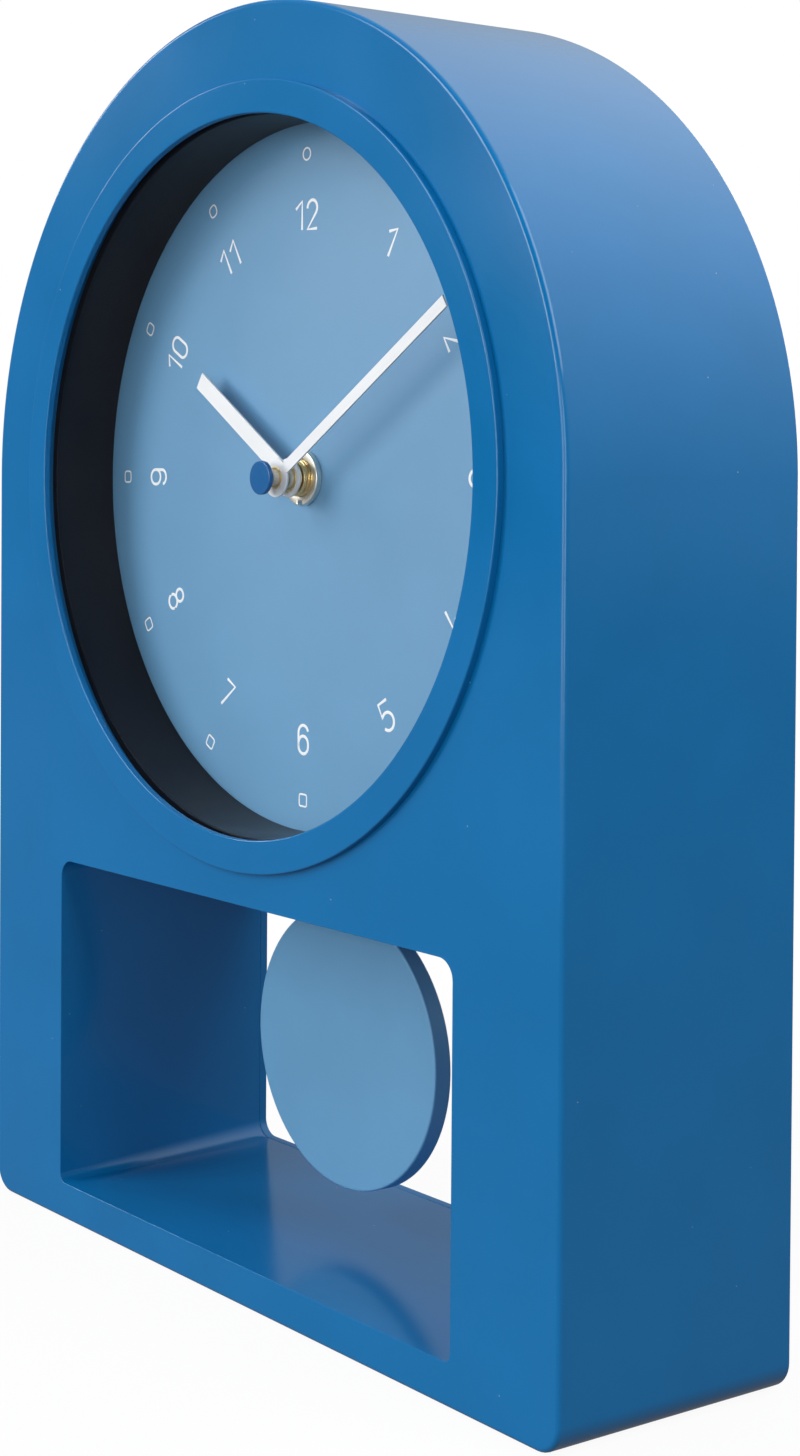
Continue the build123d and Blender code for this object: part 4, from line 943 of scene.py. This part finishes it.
# The cell: one AA battery lying across the back of the movement, held by two sprung contacts.
# A drawn steel can in a printed film sleeve, rolled in at both ends so that the bare ends show.
CELL_RADIUS = 7.25
CELL_BASE = -25.25
CELL_SHOULDER = 23.95
CELL_TIP = 25.25
CELL_CRIMP = 0.3
BASE_RADII = (6.05, 6.35)
SEAL_RADII = (5.45, 5.65)
NUB_RADIUS = 2.75
CRIMP_EDGE = 0.1
BASE_EDGE = 0.5
SHOULDER_EDGE = 0.8
SEAL_EDGE = 0.2
NUB_EDGE = 0.4
CELL_Y = 0.05
CELL_Z = 156.4
SLEEVE_ENDS = (0.012, 0.968)
BAND_ENDS = (0.74, 0.94)
SLEEVE_GREY = (0.085, 0.095, 0.105)
SLEEVE_BAND = (0.52, 0.54, 0.55)
CAN_STEEL = (0.6, 0.6, 0.59)


def cell_sleeve(name):
    """Film sleeve with one pale band, and the bare steel of the can beyond its ends."""
    material, tree, shader, place = finish_of(name)
    along = add_node(tree, "ShaderNodeSeparateXYZ", {"Vector": place}).outputs["X"]
    share = add_node(tree, "ShaderNodeMapRange", {
        "Value": along, "From Min": CELL_BASE * MM, "From Max": CELL_TIP * MM,
    }).outputs["Result"]
    colour = shades(
        tree, share, (0.0, CAN_STEEL), (SLEEVE_ENDS[0], SLEEVE_GREY), (BAND_ENDS[0], SLEEVE_BAND),
        (BAND_ENDS[1], SLEEVE_GREY), (SLEEVE_ENDS[1], CAN_STEEL),
    )
    colour.node.color_ramp.interpolation = "CONSTANT"
    tree.links.new(colour, shader.inputs["Base Color"])
    bare = shades(tree, share, (0.0, (1, 1, 1)), (SLEEVE_ENDS[0], (0, 0, 0)), (SLEEVE_ENDS[1], (1, 1, 1)))
    bare.node.color_ramp.interpolation = "CONSTANT"
    tree.links.new(bare, shader.inputs["Metallic"])
    smear = noise(tree, place, scale=120.0, detail=4.0)
    tree.links.new(levels(tree, smear, low=0.22, high=0.4), shader.inputs["Roughness"])
    raised(tree, shader, smear, 1e-5)
    return material


cell_form = turned([
    (0, CELL_BASE, 0), (BASE_RADII[0], CELL_BASE, CRIMP_EDGE),
    (BASE_RADII[1], CELL_BASE + CELL_CRIMP, CRIMP_EDGE), (CELL_RADIUS, CELL_BASE + CELL_CRIMP, BASE_EDGE),
    (CELL_RADIUS, CELL_SHOULDER, SHOULDER_EDGE), (SEAL_RADII[1], CELL_SHOULDER, SEAL_EDGE),
    (SEAL_RADII[0], CELL_SHOULDER - CELL_CRIMP, CRIMP_EDGE),
    (NUB_RADIUS, CELL_SHOULDER - CELL_CRIMP, SEAL_EDGE), (NUB_RADIUS, CELL_TIP, NUB_EDGE), (0, CELL_TIP, 0),
], (0.0, 0.0), 96)
bmesh.ops.transform(
    cell_form, verts=cell_form.verts,
    matrix=Matrix.Translation((0.0, CELL_Y * MM, CELL_Z * MM)) @ Matrix.Rotation(-pi / 2, 4, "Z"),
)
piece("cell", cell_form, cell_sleeve("battery_wrap"), "case", "battery_wrap", "battery")


# The bush and its nut: the movement's threaded neck comes through the dial, and a thin round nut clamps it.
# The bush is turned brass with a rolled thread, the nut nickel plated with two slots for a pin key.
BUSH_RADIUS = 4.0
BUSH_BORE = 2.55
BUSH_FRONT_Y = -14.5
BUSH_REAR_Y = -7.5
BUSH_BORE_EDGE = 0.2
BUSH_FRONT_EDGE = 0.35
THREAD_DEPTH = 0.22
THREAD_PITCH = 0.62
THREAD_START_Y = -10.6
THREAD_RUNOUT = 0.6
NUT_RADIUS = 6.0
NUT_BORE = 4.02
NUT_FRONT_Y = -12.9
NUT_SLOT = 1.6
NUT_SLOT_FLOOR = 5.0
NUT_FRONT_EDGE = 0.3
NUT_REAR_EDGE = 0.15
BRASS_YELLOW = (0.95, 0.74, 0.38)
NICKEL_SILVER = (0.95, 0.91, 0.82)
bright_brass = bare_metal("brass", BRASS_YELLOW, roughness=0.28)
nickel_plate = bare_metal("nickel", NICKEL_SILVER, roughness=0.36)

thread_tree, thread_in = node_tree("screw_thread", "Seed", "Metal", "Radius", "Depth", "Pitch", "Turns")
thread_path = add_node(thread_tree, "GeometryNodeCurveSpiral", {
    "Resolution": 64, "Rotations": thread_in["Turns"],
    "Start Radius": thread_in["Radius"], "End Radius": thread_in["Radius"],
    "Height": math_node(thread_tree, "MULTIPLY", thread_in["Turns"], thread_in["Pitch"]),
})
thread_ridge = add_node(thread_tree, "GeometryNodeCurveToMesh", {
    "Curve": thread_path.outputs[0], "Fill Caps": True,
    "Profile Curve": add_node(thread_tree, "GeometryNodeCurvePrimitiveCircle", {
        "Resolution": 8, "Radius": thread_in["Depth"],
    }).outputs[0],
})
thread_place = add_node(thread_tree, "GeometryNodeInstanceOnPoints", {
    "Points": thread_in["Seed"], "Instance": thread_ridge.outputs[0], "Rotation": (pi / 2, 0.0, 0.0),
})
end_tree(thread_tree, thread_place.outputs[0], thread_in["Metal"])

core = BUSH_RADIUS - THREAD_DEPTH
bush_thread = grown(
    "bush_thread", seed_of("thread_start", [(0.0, THREAD_START_Y * MM, DIAL_CENTRE[1] * MM)]), thread_tree,
    Radius=core * MM, Depth=THREAD_DEPTH * MM, Pitch=THREAD_PITCH * MM,
    Turns=(THREAD_START_Y - BUSH_FRONT_Y) / THREAD_PITCH - THREAD_RUNOUT, Metal=bright_brass,
)
bush_form = bmesh.new()
bush_form.from_mesh(bush_thread)
turned([
    (BUSH_BORE, BUSH_FRONT_Y, BUSH_BORE_EDGE), (core, BUSH_FRONT_Y, BUSH_FRONT_EDGE),
    (core, THREAD_START_Y, 0), (BUSH_RADIUS, THREAD_START_Y, 0),
    (BUSH_RADIUS, BUSH_REAR_Y, 0), (BUSH_BORE, BUSH_REAR_Y, 0),
], form=bush_form)
piece("bush", bush_form, bright_brass, "case", "brass", "threaded_bush")

slot_turn = degrees(asin(NUT_SLOT / 2 / NUT_RADIUS))
slot_floor_turn = degrees(asin(NUT_SLOT / 2 / NUT_SLOT_FLOOR))
nut_outline = []
for middle in (90, 270):
    nut_outline += arc(DIAL_CENTRE, NUT_SLOT_FLOOR, middle - slot_floor_turn, middle + slot_floor_turn, 4)
    nut_outline += arc(DIAL_CENTRE, NUT_RADIUS, middle + slot_turn, middle + 180 - slot_turn, 60)
nut_edges = rolled(NUT_FRONT_Y, NUT_FRONT_EDGE, 1, 4) + rolled(DIAL_FACE_Y, NUT_REAR_EDGE, -1, 2)[::-1]
piece(
    "nut", moulded((nut_outline, nut_edges), (hole(ring(DIAL_CENTRE, NUT_BORE)), nut_edges)),
    nickel_plate, "case", "nickel", "fixing_nut",
)


# The hands: two flat bars with round hubs, the wide short one for the hours behind the narrow long one.
# Blanked from thin sheet, painted white, and riveted on turned brass collets that push on to their shafts.
HAND_THICKNESS = 0.5
HAND_HUB = 4.2
HAND_EDGE = 0.1
HOUR_HAND = {"length": 40.0, "width": 4.0, "turn": -56.8, "rear": 4.2, "shaft": 2.5}
MINUTE_HAND = {"length": 65.0, "width": 2.6, "turn": 57.6, "rear": 7.5, "shaft": 1.75}
COLLET_WALL = 0.45
COLLET_BOSS = 0.8
COLLET_LENGTH = 1.0
COLLET_LIP = 0.2
COLLET_GAP = 0.02
COLLET_EDGE = 0.05
COLLET_LIP_EDGE = 0.12
COLLET_REAR_EDGES = (0.15, 0.1)
HAND_WHITE = (0.86, 0.87, 0.885)
hand_white = painted("hand_white", HAND_WHITE, roughness=0.45, specular=0.3, peel=3e-6)


def hand(name, size, body, hand_node, collet_node):
    """One hand with its collet; heights run forwards from the face of the dial."""
    lean = degrees(asin(size["width"] / 2 / HAND_HUB))
    outline = arc((0, 0), HAND_HUB, 90 + lean, 450 - lean, 64)
    outline += [(size["width"] / 2, size["length"]), (-size["width"] / 2, size["length"])]
    turn = Matrix.Rotation(-radians(size["turn"]), 2)
    outline = [tuple(turn @ Vector(point) + Vector(DIAL_CENTRE)) for point in outline]
    rear = DIAL_FACE_Y - size["rear"]
    front = rear - HAND_THICKNESS
    edges = rolled(front, HAND_EDGE, 1, 3) + rolled(rear, HAND_EDGE, -1, 3)[::-1]
    neck = size["shaft"] + COLLET_WALL
    bore = size["shaft"] + COLLET_GAP
    piece(
        name, moulded((outline, edges), (hole(ring(DIAL_CENTRE, neck + COLLET_GAP)), edges)),
        hand_white, body, "hand_white", hand_node,
    )
    boss_rear = rear + COLLET_LENGTH
    boss = size["shaft"] + COLLET_BOSS
    collet = turned([
        (bore, front - COLLET_LIP, COLLET_EDGE), (neck + COLLET_LIP, front - COLLET_LIP, COLLET_LIP_EDGE),
        (neck + COLLET_LIP, front, 0), (neck, front, 0), (neck, rear, 0), (boss, rear, COLLET_EDGE),
        (boss, boss_rear, COLLET_REAR_EDGES[0]), (bore, boss_rear, COLLET_REAR_EDGES[1]),
    ], steps=96)
    piece(name + "_brass", collet, bright_brass, body, "brass", collet_node)


hand("short_hand", HOUR_HAND, "hour_works", "hour_hand", "hour_hand_collet")
hand("long_hand", MINUTE_HAND, "minute_works", "minute_hand", "minute_hand_collet")


# The cap: a small glossy blue disc pressed on the thin seconds arbor, which closes the stack of hands.
# Turned plastic with a rolled edge, painted, with a thin clear coat that gives it a small highlight.
CAP_RADIUS = 3.65
CAP_FRONT_Y = -23.7
CAP_REAR_Y = -22.7
CAP_FRONT_EDGE = 0.3
CAP_REAR_EDGE = 0.15
CAP_BLUE = (0.006, 0.112, 0.330)
piece(
    "cap", turned([
        (0, CAP_FRONT_Y, 0), (CAP_RADIUS, CAP_FRONT_Y, CAP_FRONT_EDGE),
        (CAP_RADIUS, CAP_REAR_Y, CAP_REAR_EDGE), (0, CAP_REAR_Y, 0),
    ], steps=96), painted("cap_blue", CAP_BLUE, roughness=0.22, specular=0.4, peel=2e-6, coat=0.2),
    "seconds_works", "cap_blue", "seconds_cap",
)


# The pendulum bob: a plain thick disc on a steel rod that hangs from the movement through the tunnel's roof.
# Painted the same blue grey as the dial, but satin, with both edges lightly rounded.
BOB_CENTRE = (0.0, 50.9)
BOB_RADIUS = 31.0
BOB_Y = (0.1, 4.5)
BOB_EDGE = 0.5
BOB_BLUE = (0.126, 0.328, 0.540)
piece(
    "bob", turned([
        (0, BOB_Y[0], 0), (BOB_RADIUS, BOB_Y[0], BOB_EDGE),
        (BOB_RADIUS, BOB_Y[1], BOB_EDGE), (0, BOB_Y[1], 0),
    ], BOB_CENTRE, 160), painted("bob_blue", BOB_BLUE, roughness=0.45, specular=0.5),
    "pendulum", "bob_blue", "pendulum_bob",
)
